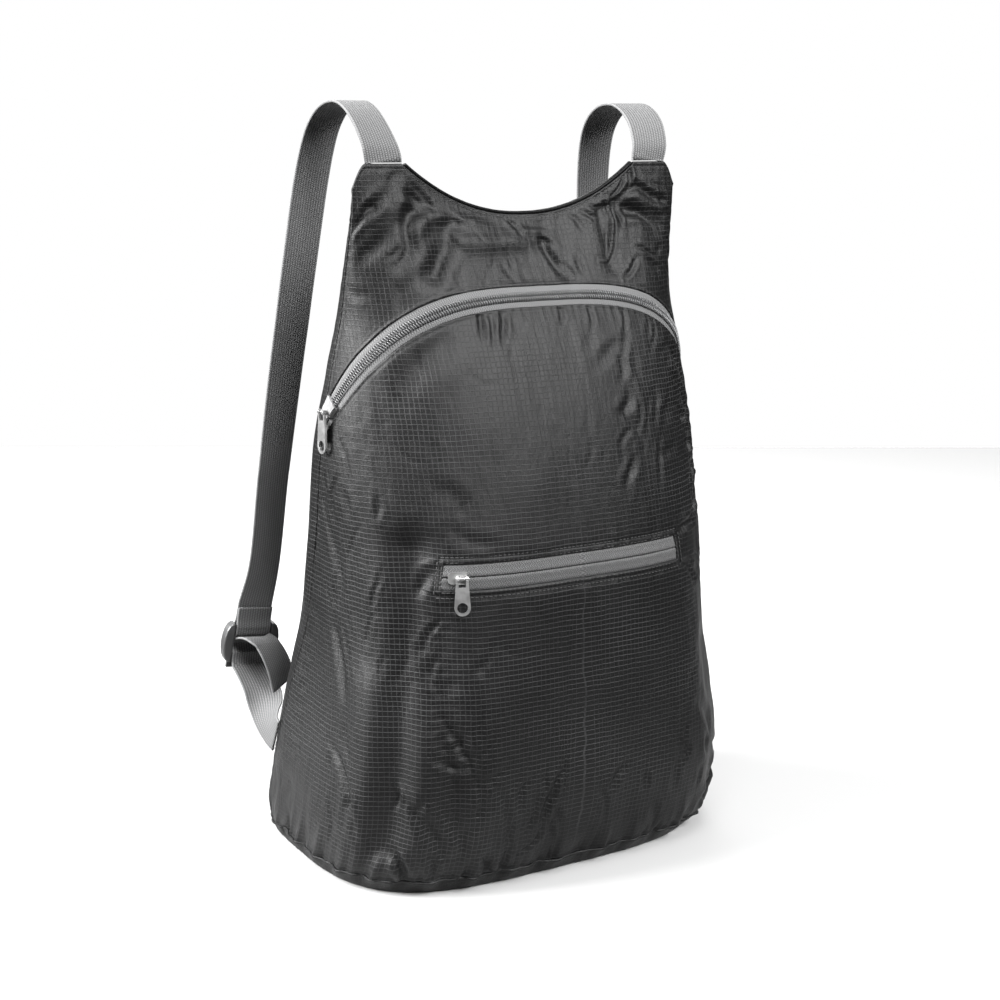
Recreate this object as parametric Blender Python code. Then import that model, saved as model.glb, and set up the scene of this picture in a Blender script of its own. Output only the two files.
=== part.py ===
"""Packable backpack: a light ripstop cloth bag that stands on its oval base.

Frame: Z up, the floor at Z = 0, the front of the bag towards -Y and its right side, seen from the
front, towards -X.  X = 0 is the middle plane.  Sizes below are in millimetres; the meshes are in metres.

The cloth skin is one surface, skin(u, height, depth).  u runs from 0 at one side seam to 1 at the other,
by arc length, height runs up the bag, and depth is measured inwards from the outer face.  Panels, zip
tapes and the zip chain are all strips cut out of that surface.
"""

import math

import bmesh
import bpy
import numpy as np
from mathutils import Matrix, Vector

MM = 0.001

# Sections of the stuffed bag, one row for each height
SECTION_COLUMNS = ("height", "half_width", "widest_y", "front_y", "back_y",
                   "front_power", "back_power", "seam_wrap")
SECTIONS = np.array([
    (0.0, 123.0, 68.0, -45.0, 117.0, 3.6, 3.2, 20.0),
    (12.0, 127.6, 65.0, -54.0, 121.0, 3.7, 3.1, 20.0),
    (45.0, 127.0, 60.0, -65.0, 122.0, 3.9, 2.9, 22.0),
    (90.0, 122.0, 53.0, -68.0, 114.0, 3.8, 2.7, 13.0),
    (140.0, 115.5, 45.0, -66.0, 101.0, 3.4, 2.5, 3.0),
    (190.0, 115.0, 34.0, -63.0, 85.0, 2.9, 2.4, 0.0),
    (250.0, 115.0, 22.0, -53.0, 66.0, 2.3, 2.5, 0.0),
    (300.0, 108.7, 17.0, -37.0, 47.5, 2.2, 2.7, 0.0),
    (320.0, 105.6, 14.7, -28.5, 39.5, 2.2, 2.8, 0.0),
    (345.0, 104.2, 11.0, -17.0, 29.0, 2.3, 2.9, 0.0),
    (385.0, 103.0, 4.5, -2.6, 11.5, 2.5, 2.7, 0.0),
    (398.0, 103.0, 3.0, 1.3, 4.7, 2.5, 2.5, 0.0),
])
SEAM_HEIGHT = 10.0          # where the base panel is sewn on
TOP_HEIGHT = 398.0          # the two peaks, where the straps are sewn in
NECK_DIP = 28.0             # how far the neckline drops between the peaks
NECK_HALF_WIDTH = 74.0      # half of the neckline's width
NECK_POWER = 2.2
CORNER_START = 95.5         # outside the strap the peak's edge falls away
CORNER_DROP = 13.0
DIP_START = 240.0           # above this height the sections sag with the neckline

CLOTH = 1.2
GAP = 0.3
SEAM_GAP = 0.45             # between the front and the back at the side seams

# Creases of the cloth: from (along, height) to (along, height), where along is the distance round the
# front from its middle.  A depth above zero is a valley, one below zero is a ridge.
CREASE_COLUMNS = ("along_a", "height_a", "along_b", "height_b", "width", "depth")
FRONT_CREASES = (
    (-98.0, 196.0, -118.0, 30.0, 12.0, 5.5),      # long hollow down the left of the front
    (-132.0, 118.0, -136.0, 40.0, 13.0, -2.0),    # the full side beside it
    (104.0, 120.0, 112.0, 30.0, 12.0, 2.0),       # the same on the right, shallower
    (128.0, 74.0, 131.0, 26.0, 12.0, -1.2),       # cloth that bulges over the base at the right
    (-98.0, 352.0, -62.0, 384.0, 5.0, 2.2),       # diagonal folds below the left strap
    (-66.0, 344.0, -48.0, 382.0, 6.0, 3.0),
    (-40.0, 372.0, -8.0, 378.0, 9.0, -3.0),       # cloth that swells under the neckline
    (56.0, 384.0, 88.0, 362.0, 5.0, 2.4),         # folds that spread from the right strap
    (50.0, 384.0, 52.0, 346.0, 4.5, 2.2),
    (8.0, 372.0, 22.0, 346.0, 5.0, 1.8),
)
GATHER_PITCH = 27.0         # gathers of the cloth where it meets the base seam
GATHER_DEPTH = 1.3
GATHER_REACH = 26.0

# Main zip: an arch from one side seam to the other
ARCH_FOOT = 255.0
ARCH_RISE = 71.5
ARCH_HALF_SPAN = 114.0
ARCH_POWER = 3.2
ARCH_END = 1.24             # past this angle the zip runs straight down to the side seam
TAPE_HALF = 6.3             # from the middle of the chain to the cloth's edge
CHAIN_HALF = 3.0
TAPE_DEPTH = (0.35, 1.15)
CHAIN_DEPTH = (-1.3, 0.05)
MAIN_SLIDER_HEIGHT = 268.8
MAIN_PULL_OFFSET = -3.0     # the bail stands towards the zip's foot

# Pocket zip: a straight window in the front panel
POCKET_LEFT = -79.3
POCKET_RIGHT = 67.5
POCKET_LOW = 177.0
POCKET_HIGH = 190.4
POCKET_SLIDER_X = -72.6
POCKET_PULL_OFFSET = 2.4    # the bail stands off the middle of this slider

# Sliders and pulls
MAIN_PULL_LENGTH = 23.0      # from the pin to the tip
POCKET_PULL_LENGTH = 20.0
PULL_TOP_WIDTH = 6.4
PULL_END_WIDTH = 8.6
PULL_THICK = 1.2
PULL_HOLE = 2.9
PIN_RADIUS = 0.6
EYE_BORE = 0.95
EYE_RADIUS = 1.4
EYE_WIDTH = 1.2
ARM_MIDDLE = 2.6
POST_WIDTH = 2.4
PIN_LENGTH = 7.4

# Webbing and ladder locks
WEBBING = 22.0
WEBBING_THICK = 1.2
BUCKLE_THICK = 6.6

FRONT_COLUMNS = 44
FRONT_ROWS = (9, 2, 7)      # base to pocket window, the window, window to main zip
YOKE_ROWS = 7
BACK_COLUMNS = 20


def smooth_column(height, column):
    """Read one column of the sections at any height, on a smooth curve through the rows."""
    rows = SECTIONS[:, 0]
    values = SECTIONS[:, SECTION_COLUMNS.index(column)]
    slopes = np.gradient(values, rows)
    height = np.clip(height, rows[0], rows[-1])
    low = np.clip(np.searchsorted(rows, height, side="right") - 1, 0, len(rows) - 2)
    span = rows[low + 1] - rows[low]
    t = (height - rows[low]) / span
    t2 = t * t
    t3 = t2 * t
    return ((2 * t3 - 3 * t2 + 1) * values[low] + (t3 - 2 * t2 + t) * span * slopes[low]
            + (3 * t2 - 2 * t3) * values[low + 1] + (t3 - t2) * span * slopes[low + 1])


def neck_dip(x):
    """How far the top edge lies below the peaks at this x."""
    inside = np.clip(np.abs(x) / NECK_HALF_WIDTH, 0, 1)
    outside = np.clip((np.abs(x) - CORNER_START) / 7.5, 0, 1)
    return NECK_DIP * (1 - inside ** NECK_POWER) + CORNER_DROP * outside ** 1.6


def dip_share(height):
    """0 below DIP_START, rising to 1 at the top edge."""
    return np.clip((height - DIP_START) / (TOP_HEIGHT - DIP_START), 0, 1) ** 2


def ring_point(angle, height, depth):
    """Point of a horizontal section; the angle is 0 at +X and runs towards +Y, the back."""
    wide = smooth_column(height, "half_width") - depth
    widest = smooth_column(height, "widest_y")
    cosine = np.cos(angle)
    sine = np.sin(angle)
    front = sine < 0
    power = np.where(front, smooth_column(height, "front_power"), smooth_column(height, "back_power"))
    reach = np.where(front, widest - smooth_column(height, "front_y"),
                     smooth_column(height, "back_y") - widest) - depth
    x = wide * np.sign(cosine) * np.abs(cosine) ** (2 / power)
    y = widest + reach * np.sign(sine) * np.abs(sine) ** (2 / power)
    return x, y


def ring_angles(height, back):
    """First and last angle of a panel in its section; the front wraps a little past the widest place."""
    reach = smooth_column(height, "back_y") - smooth_column(height, "widest_y")
    wrap = np.clip(smooth_column(height, "seam_wrap") / reach, 0, 0.9)
    turn = np.arcsin(wrap ** (smooth_column(height, "back_power") / 2))
    if back:
        return math.pi - turn, turn
    return math.pi - turn, 2 * math.pi + turn


def along_ring(u, height, back):
    """Angle at share u of the panel's arc length in the section at this height."""
    steps = np.linspace(0, 1, 161)
    start, end = ring_angles(height, back)
    angles = start[:, None] + (end - start)[:, None] * steps
    x, y = ring_point(angles, height[:, None], 0.0)
    lengths = np.hypot(np.diff(x, axis=1), np.diff(y, axis=1))
    sums = np.concatenate([np.zeros((len(u), 1)), np.cumsum(lengths, axis=1)], axis=1)
    totals = sums[:, -1]
    angle = np.array([np.interp(share * total, row, line)
                      for share, total, row, line in zip(u, totals, sums, angles)])
    return angle, totals


def crease_depth(along, height):
    """Depth of all front creases and base gathers at a place on the front."""
    depth = np.zeros_like(along)
    for along_a, height_a, along_b, height_b, width, deep in FRONT_CREASES:
        run = np.array((along_b - along_a, height_b - height_a))
        length2 = float(run @ run)
        share = np.clip(((along - along_a) * run[0] + (height - height_a) * run[1]) / length2, 0, 1)
        away2 = (along - along_a - share * run[0]) ** 2 + (height - height_a - share * run[1]) ** 2
        depth += deep * np.exp(-away2 / width ** 2)
    return depth * np.clip((height - 9) / 22, 0, 1)


def gather_depth(along, height):
    """Gathers that fade out above the base seam and vanish at the floor."""
    above = np.clip((height - SEAM_HEIGHT) / GATHER_REACH, 0, 1)
    below = np.clip(height / SEAM_HEIGHT, 0, 1)
    wave = np.sin(2 * math.pi * along / GATHER_PITCH) + 0.5 * np.sin(4.6 * math.pi * along / GATHER_PITCH)
    return GATHER_DEPTH * wave * (1 - above) ** 1.5 * below


def skin(u, height, depth=0.0, back=False):
    """Point of the cloth surface in millimetres, as an array of x, y, z."""
    u, height, depth = [np.atleast_1d(v).astype(float) for v in np.broadcast_arrays(u, height, depth)]
    shape = u.shape
    u, height, depth = u.ravel(), height.ravel(), depth.ravel()
    angle, total = along_ring(u, height, back)
    along = (u - 0.5) * total
    hollow = gather_depth(along, height)
    if not back:
        hollow = hollow + crease_depth(along, height) * np.clip((TOP_HEIGHT - 1 - height) / 12, 0, 1)
    side = np.clip(np.minimum(u, 1 - u) * total / 14, 0, 1)     # creases die out at the side seams
    x, y = ring_point(angle, height, depth + hollow * side)
    seam = smooth_column(height, "widest_y") + smooth_column(height, "seam_wrap")
    if back:
        y = np.maximum(y, seam + SEAM_GAP / 2)
    else:
        y = np.minimum(y, seam - SEAM_GAP / 2)
    z = height - neck_dip(x) * dip_share(height)
    return np.stack([x, y, z], axis=-1).reshape(shape + (3,))


def height_at(x, z):
    """Height parameter of a point at this x and z: undoes the sag of the neckline."""
    height = np.array(z, float)
    for _ in range(40):
        height = z + neck_dip(x) * dip_share(height)
    return height


def u_at(x, height):
    """Share of the front's arc length at this x."""
    shares = np.linspace(0, 1, 241)
    out = []
    for one_x, one_height in zip(np.atleast_1d(x), np.atleast_1d(height)):
        line = skin(shares, one_height)
        out.append(np.interp(one_x, line[:, 0], shares))
    return np.array(out)


def arch_curve(offset):
    """Zip line moved sideways in the skin by an offset, as u and height samples across the front."""
    angles = np.linspace(-ARCH_END, ARCH_END, 61)
    x = ARCH_HALF_SPAN * np.sign(angles) * np.abs(np.sin(angles)) ** (2 / ARCH_POWER)
    height = height_at(x, ARCH_FOOT + ARCH_RISE * np.cos(angles))
    u = u_at(x, height)
    by_u = (skin(u + 0.002, height) - skin(u - 0.002, height)) / 0.004
    by_height = (skin(u, height + 1) - skin(u, height - 1)) / 2
    tangent = np.gradient(skin(u, height), axis=0)
    normal = np.cross(by_u, by_height)
    across = np.cross(normal, tangent)
    across *= offset / np.linalg.norm(across, axis=1)[:, None]
    moves = np.array([np.linalg.lstsq(np.stack(pair, axis=1), side, rcond=None)[0]
                      for pair, side in zip(zip(by_u, by_height), across)])
    u = u + moves[:, 0]
    height = height + moves[:, 1]
    keep = (u > 0.001) & (u < 0.999)
    u, height = u[keep], height[keep]
    first = height[0] - u[0] * (height[3] - height[0]) / (u[3] - u[0])
    last = height[-1] + (1 - u[-1]) * (height[-1] - height[-4]) / (u[-1] - u[-4])
    return np.concatenate([[0], u, [1]]), np.concatenate([[first], height, [last]])


def material(name, colour, roughness, metallic=0.0):
    """Principled material in one colour."""
    made = bpy.data.materials.new(name)
    made.use_nodes = True
    shader = made.node_tree.nodes["Principled BSDF"]
    shader.inputs["Base Color"].default_value = (*colour, 1.0)
    shader.inputs["Roughness"].default_value = roughness
    shader.inputs["Metallic"].default_value = metallic
    return made


def cloth_black():
    return material("cloth_black", (0.030, 0.030, 0.032), 0.55)


def webbing_grey():
    return material("webbing_grey", (0.20, 0.20, 0.205), 0.80)


def tape_grey():
    return material("tape_grey", (0.24, 0.24, 0.245), 0.75)


def slider_metal():
    return material("slider_metal", (0.72, 0.72, 0.73), 0.25, 1.0)


def buckle_plastic():
    return material("buckle_plastic", (0.075, 0.078, 0.082), 0.45)


def add_object(name, vertices, faces, finish):
    """Mesh object from vertices in millimetres."""
    mesh = bpy.data.meshes.new(name)
    mesh.from_pydata((np.asarray(vertices, float) * MM).tolist(), [], faces)
    mesh.update()
    made = bpy.data.objects.new(name, mesh)
    bpy.context.scene.collection.objects.link(made)
    made.data.materials.append(finish)
    made.data.shade_smooth()
    made.data.set_sharp_from_angle(angle=math.radians(40))
    return made


def walled_grid(name, outer, inner, finish, hole=None):
    """Closed wall between two grids of points; hole is (row, row, column, column) of cells left out."""
    rows, columns = outer.shape[:2]
    count = rows * columns
    vertices = np.concatenate([outer.reshape(-1, 3), inner.reshape(-1, 3)])

    def at(row, column, side):
        return side * count + row * columns + column

    def solid(row, column):
        if not (0 <= row < rows - 1 and 0 <= column < columns - 1):
            return False
        if hole and hole[0] <= row < hole[1] and hole[2] <= column < hole[3]:
            return False
        return True

    faces = []
    for row in range(rows - 1):
        for column in range(columns - 1):
            if not solid(row, column):
                continue
            corners = [(row, column), (row, column + 1), (row + 1, column + 1), (row + 1, column)]
            faces.append([at(r, c, 0) for r, c in corners])
            faces.append([at(r, c, 1) for r, c in reversed(corners)])
            beside = [(row - 1, column), (row, column + 1), (row + 1, column), (row, column - 1)]
            for side, cell in enumerate(beside):
                if not solid(*cell):
                    (r1, c1), (r2, c2) = corners[side], corners[(side + 1) % 4]
                    faces.append([at(r2, c2, 0), at(r1, c1, 0), at(r1, c1, 1), at(r2, c2, 1)])
    used = sorted({index for face in faces for index in face})
    renumber = {old: new for new, old in enumerate(used)}
    return add_object(name, vertices[used], [[renumber[i] for i in face] for face in faces], finish)


def strip(name, u, low, high, depths, finish, rows=1, hole=None, back=False, row_shares=None):
    """Wall cut from the skin between two heights, each given for every column."""
    shares = np.linspace(0, 1, rows + 1) if row_shares is None else row_shares
    heights = low + (high - low) * shares[:, None]
    columns = np.broadcast_to(u, heights.shape)
    outer = skin(columns, heights, depths[0], back)
    inner = skin(columns, heights, depths[1], back)
    if back:
        outer, inner = inner, outer
    return walled_grid(name, outer, inner, finish, hole)


def front_columns():
    """Columns of all front pieces, with lines at both ends of the pocket window."""
    middle = (POCKET_LOW + POCKET_HIGH) / 2
    left, right = u_at([POCKET_LEFT, POCKET_RIGHT], [middle, middle])
    window = round(FRONT_COLUMNS * (right - left))
    before = round(FRONT_COLUMNS * left)
    after = FRONT_COLUMNS - window - before
    u = np.concatenate([np.linspace(0, left, before + 1)[:-1],
                        np.linspace(left, right, window + 1),
                        np.linspace(right, 1, after + 1)[1:]])
    return u, before, before + window


def front_heights(u, arch):
    """Heights of the front panel's rows, with lines at both edges of the pocket window."""
    low = np.full_like(u, SEAM_HEIGHT + GAP / 2)
    window_low = np.full_like(u, POCKET_LOW)
    window_high = np.full_like(u, POCKET_HIGH)
    top = np.interp(u, *arch(-TAPE_HALF))
    heights = [low]
    for start, end, count in ((low, window_low, FRONT_ROWS[0]), (window_low, window_high, FRONT_ROWS[1]),
                              (window_high, top, FRONT_ROWS[2])):
        heights += [start + (end - start) * step / count for step in range(1, count + 1)]
    return np.array(heights)


def front_panel(u, first, last, arch):
    """Front of the bag below the main zip, with the pocket window cut in it."""
    heights = front_heights(u, arch)
    columns = np.broadcast_to(u, heights.shape)
    outer = skin(columns, heights, 0.0)
    inner = skin(columns, heights, CLOTH)
    hole = (FRONT_ROWS[0], FRONT_ROWS[0] + FRONT_ROWS[1], first, last)
    return walled_grid("front_panel", outer, inner, cloth_black(), hole)


def yoke_heights(u, arch):
    """Heights of the yoke's rows."""
    low = np.interp(u, *arch(TAPE_HALF))
    return low + (TOP_HEIGHT - low) * np.linspace(0, 1, YOKE_ROWS + 1)[:, None]


def front_yoke(u, arch):
    """Cloth between the main zip and the neckline."""
    heights = yoke_heights(u, arch)
    columns = np.broadcast_to(u, heights.shape)
    outer = skin(columns, heights, 0.0)
    inner = skin(columns, heights, CLOTH)
    return walled_grid("front_yoke", outer, inner, cloth_black())


def back_panel(arch):
    """Panel that lies against the wearer's back; its rows meet the front's rows at the side seams."""
    u = np.linspace(0, 1, BACK_COLUMNS + 1)
    ends = np.array((0.0, 1.0))
    seams = np.concatenate([front_heights(ends, arch), yoke_heights(ends, arch)])
    heights = seams[:, :1] + (seams[:, 1:] - seams[:, :1]) * u
    columns = np.broadcast_to(u, heights.shape)
    outer = skin(columns, heights, 0.0, back=True)
    inner = skin(columns, heights, CLOTH, back=True)
    return walled_grid("back_panel", inner, outer, cloth_black())


def base_panel(front_u):
    """Shallow oval tray that the bag stands on: a flat sole and a wall up to the base seam."""
    back_u = np.linspace(0, 1, BACK_COLUMNS + 1)[1:-1]
    rim = SEAM_HEIGHT - GAP / 2

    def ring(height, depth):
        front = skin(front_u, height, depth)
        back = skin(back_u, height, depth, back=True)[::-1]
        return np.concatenate([front, back])

    outer_heights = (0.0, 2.5, 6.0, rim)
    inner_heights = (CLOTH, 6.0, rim)
    rings = [ring(height, 0.0) for height in outer_heights]
    rings += [ring(height, CLOTH) for height in reversed(inner_heights)]
    count = len(rings[0])
    faces = [list(range(count))[::-1]]
    for level in range(len(rings) - 1):
        for index in range(count):
            after = (index + 1) % count
            faces.append([level * count + index, level * count + after,
                          (level + 1) * count + after, (level + 1) * count + index])
    faces.append(list(range((len(rings) - 1) * count, len(rings) * count)))
    return add_object("base_panel", np.concatenate(rings), faces, cloth_black())


def neck_binding():
    """Narrow binding that closes the neckline between the straps."""
    x = np.linspace(-NECK_HALF_WIDTH + 1.5, NECK_HALF_WIDTH - 1.5, 31)
    z = TOP_HEIGHT - neck_dip(x) + GAP
    middle = float(smooth_column(np.array([TOP_HEIGHT]), "widest_y")[0])
    rows = []
    for y, lift in ((middle - 1.4, 0.0), (middle + 1.4, 0.0), (middle + 1.4, 1.1), (middle - 1.4, 1.1)):
        rows.append(np.stack([x, np.full_like(x, y), z + lift], axis=-1))
    return loft("neck_binding", np.stack(rows, axis=1), cloth_black())


def loft(name, sections, finish):
    """Closed body through a row of closed sections, an array of section, corner, xyz."""
    count, corners = sections.shape[:2]
    faces = [list(range(corners))[::-1]]
    for index in range(count - 1):
        for corner in range(corners):
            after = (corner + 1) % corners
            faces.append([index * corners + corner, index * corners + after,
                          (index + 1) * corners + after, (index + 1) * corners + corner])
    faces.append(list(range((count - 1) * corners, count * corners)))
    made = add_object(name, sections.reshape(-1, 3), faces, finish)
    fix = bmesh.new()
    fix.from_mesh(made.data)
    bmesh.ops.recalc_face_normals(fix, faces=fix.faces)
    fix.to_mesh(made.data)
    fix.free()
    return made


def spline(points, count):
    """Centripetal curve through the rows of points, sampled evenly along its length."""
    points = np.asarray(points, float)
    padded = np.vstack([2 * points[0] - points[1], points, 2 * points[-1] - points[-2]])
    dense = []
    for index in range(1, len(padded) - 2):
        p0, p1, p2, p3 = padded[index - 1:index + 3]
        for t in np.linspace(0, 1, 24, endpoint=False):
            dense.append(0.5 * (2 * p1 + (p2 - p0) * t + (2 * p0 - 5 * p1 + 4 * p2 - p3) * t ** 2
                                + (3 * p1 - p0 - 3 * p2 + p3) * t ** 3))
    dense.append(points[-1])
    dense = np.array(dense)
    sums = np.concatenate([[0], np.cumsum(np.linalg.norm(np.diff(dense[:, :3], axis=0), axis=1))])
    even = np.linspace(0, sums[-1], count)
    return np.stack([np.interp(even, sums, dense[:, axis]) for axis in range(dense.shape[1])], axis=1)


def ribbon(name, route, finish, mirror=1, level_start=False):
    """Flat webbing along a route; a station is x, y, z of its middle and x, y, z of its width."""
    centre = route[:, :3]
    across = route[:, 3:]
    tangent = np.gradient(centre, axis=0)
    tangent /= np.linalg.norm(tangent, axis=1)[:, None]
    across = across - np.sum(across * tangent, axis=1)[:, None] * tangent
    across /= np.linalg.norm(across, axis=1)[:, None]
    face = np.cross(tangent, across)
    half, thick = WEBBING / 2, WEBBING_THICK / 2
    corners = [centre + side * half * across + lift * thick * face
               for side, lift in ((-1, -1), (1, -1), (1, 1), (-1, 1))]
    sections = np.stack(corners, axis=1)
    if level_start:
        sections[0, :, 2] = centre[0, 2]
    sections[:, :, 0] *= mirror
    return loft(name, sections, finish)


UPPER_STATIONS = 46
RISE_STATIONS = 12
TAIL_STATIONS = 13

# Route of the left strap from its peak to the buckle: middle of the webbing and its width's direction
STRAP_COLUMNS = ("x", "y", "z", "width_x", "width_y", "width_z")
STRAP_ROUTE = (
    (-84.3, 3.0, 398.4, 1.0, 0.0, 0.0),
    (-86.3, 4.2, 408.0, 1.0, 0.10, 0.0),
    (-88.3, 11.5, 419.3, 1.0, 0.18, 0.0),
    (-89.1, 22.0, 427.0, 1.0, 0.20, 0.0),
    (-89.4, 34.0, 430.3, 1.0, 0.20, 0.0),
    (-90.0, 48.0, 428.4, 1.0, 0.18, 0.0),
    (-90.7, 60.0, 421.5, 1.0, 0.14, 0.0),
    (-92.0, 69.0, 409.0, 1.0, 0.10, 0.0),
    (-94.5, 76.0, 386.0, 1.0, 0.06, 0.0),
    (-98.0, 81.0, 354.0, 1.0, 0.06, 0.0),
    (-103.0, 87.0, 309.0, 1.0, 0.08, 0.0),
    (-107.5, 94.5, 262.0, 1.0, 0.12, 0.0),
    (-112.0, 101.0, 214.0, 1.0, 0.20, 0.0),
    (-115.8, 108.0, 164.0, 1.0, 0.20, 0.0),
)
# The ladder lock's own axes: across the webbing, up the strap, and out of its face
BUCKLE_CENTRE = np.array((-123.8, 116.5, 112.0))
BUCKLE_ACROSS = np.array((0.985, -0.01, -0.12))
BUCKLE_ACROSS = BUCKLE_ACROSS / np.linalg.norm(BUCKLE_ACROSS)
BUCKLE_OUT = np.cross(BUCKLE_ACROSS, (0.12, -0.17, 0.98))
BUCKLE_OUT = BUCKLE_OUT / np.linalg.norm(BUCKLE_OUT)
BUCKLE_UP = np.cross(BUCKLE_OUT, BUCKLE_ACROSS)

# Bars of the ladder lock: place up the strap, size along it and thickness
BAR_TOP = (8.6, 3.0, 2.4)
BAR_MIDDLE = (0.6, 2.2, 1.8)
BAR_LOW = (-8.4, 3.0, 2.4)
BAR_HALF = 12.3
# Rounded ear at either end of the bars, as (across, up) outside the webbing
EAR_START = 11.5
EAR_OUTLINE = ((0.0, -12.6), (1.9, -12.5), (3.7, -11.2), (5.0, -8.6), (5.8, -4.8), (6.1, -0.4),
               (5.8, 4.2), (5.0, 8.2), (3.6, 11.0), (1.9, 12.4), (0.0, 12.6))
LIP = (-13.8, 7.6, 1.8, -1.9)       # thumb lip under the low bar: up, tall, thick, out

# Webbing in the lock, as (up, out) places: the sewn loop round the top bar and the free webbing
LOOP_ROUTE = ((24.0, -0.78), (16.0, -1.0), (10.4, -2.2), (8.6, -2.2), (7.1, -2.2), (6.39, -1.91),
              (6.1, -1.2), (6.1, 0.0), (6.1, 1.2), (6.39, 1.91), (7.1, 2.2), (8.6, 2.2),
              (10.4, 2.2), (15.0, 1.1), (22.5, 0.78))
THREAD_ROUTE = ((-13.5, 3.4), (-9.9, 2.3), (-6.9, 2.2), (-6.1, 1.9), (-3.8, -0.3),
                (-1.6, -1.6), (-0.5, -1.85), (1.7, -1.85), (2.37, -1.57), (2.65, -0.9), (2.65, 0.9),
                (2.8, 1.9), (3.2, 3.3), (4.2, 4.9), (5.3, 6.9))


def buckle_place(up, out):
    """Place on the middle of the webbing from its place in the ladder lock's own axes."""
    return BUCKLE_CENTRE + up * BUCKLE_UP + out * BUCKLE_OUT


def buckle_stations(route):
    return np.array([(*buckle_place(up, out), *BUCKLE_ACROSS) for up, out in route])


# Lower webbing: from the side seam up to the lock, and the free tail that hangs out of it
SEAM_ROUTE = (
    (-124.9, 76.6, 63.6, 0.07, -0.35, 0.93),
    (-125.1, 83.5, 66.4, 0.20, -0.46, 0.87),
    (-124.2, 90.4, 71.2, 0.46, -0.50, 0.69),
    (-122.3, 97.3, 77.4, 0.80, -0.40, 0.42),
    (-121.9, 103.7, 84.4, 0.96, -0.12, 0.17),
    (-123.4, 110.0, 91.8, 0.98, 0.05, 0.10),
)
TAIL_ROUTE = (
    (-122.5, 105.1, 116.4, 0.96, 0.19, -0.18),
    (-119.3, 101.8, 114.2, 0.89, 0.38, -0.15),
    (-117.4, 99.1, 110.4, 0.85, 0.46, -0.10),
    (-115.3, 97.4, 104.9, 0.84, 0.48, -0.05),
    (-112.9, 97.0, 97.7, 0.84, 0.49, 0.0),
    (-110.6, 97.8, 87.5, 0.83, 0.50, 0.05),
)


def straps():
    """Both shoulder straps, each sewn into its peak, and the lower webbing with its free tail."""
    for side, mirror in (("left", 1), ("right", -1)):
        loop = buckle_stations(LOOP_ROUTE)
        upper = spline(np.vstack([STRAP_ROUTE, loop[:1]]), UPPER_STATIONS)
        ribbon("strap_" + side + "_upper", np.vstack([upper, loop[1:]]), webbing_grey(), mirror, True)
        thread = buckle_stations(THREAD_ROUTE)
        rise = spline(np.vstack([SEAM_ROUTE, thread[:1]]), RISE_STATIONS)
        tail = spline(np.vstack([thread[-1:], TAIL_ROUTE]), TAIL_STATIONS)
        lower = np.vstack([rise, thread[1:], tail[1:]])
        ribbon("strap_" + side + "_lower", lower, webbing_grey(), mirror)


def rounded_box(name, size, centre, bevel, finish):
    """Box with rounded edges, in millimetres."""
    half = np.array(size) / 2
    corners = [(x, y, z) for x in (-1, 1) for y in (-1, 1) for z in (-1, 1)]
    vertices = np.array(corners) * half + np.array(centre)
    faces = [(0, 1, 3, 2), (4, 6, 7, 5), (0, 4, 5, 1), (2, 3, 7, 6), (0, 2, 6, 4), (1, 5, 7, 3)]
    made = add_object(name, vertices, faces, finish)
    if bevel:
        round_off = made.modifiers.new("rounding", "BEVEL")
        round_off.width = bevel * MM
        round_off.segments = 2
    return made


def cylinder(name, radius, length, centre, axis, finish, sides=16):
    """Cylinder between two flat ends, in millimetres."""
    axis = np.array(axis, float) / np.linalg.norm(axis)
    helper = np.array((0.0, 0.0, 1.0)) if abs(axis[2]) < 0.9 else np.array((1.0, 0.0, 0.0))
    first = np.cross(axis, helper)
    first /= np.linalg.norm(first)
    second = np.cross(axis, first)
    turns = 2 * math.pi * np.arange(sides) / sides
    circle = radius * (np.cos(turns)[:, None] * first + np.sin(turns)[:, None] * second)
    ends = [np.array(centre) + end * length / 2 * axis + circle for end in (-1, 1)]
    return loft(name, np.stack(ends), finish)


def combine(target, operation, *tools):
    """Join tools to the target, or cut them out of it, and keep the tools as guides."""
    for tool in tools:
        modifier = target.modifiers.new(tool.name, "BOOLEAN")
        modifier.operation = operation
        modifier.object = tool
        tool.hide_render = True
        tool.display_type = "WIRE"
    return target


def place(objects, origin, right, out):
    """Turn objects so that their X follows right and their -Y follows out, and move them to origin."""
    right = Vector(right).normalized()
    out = Vector(out).normalized()
    up = right.cross(-out).normalized()
    turn = Matrix((right, -out, up)).transposed().to_4x4()
    turn.translation = Vector(origin) * MM
    for made in objects:
        made.matrix_world = turn


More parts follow.
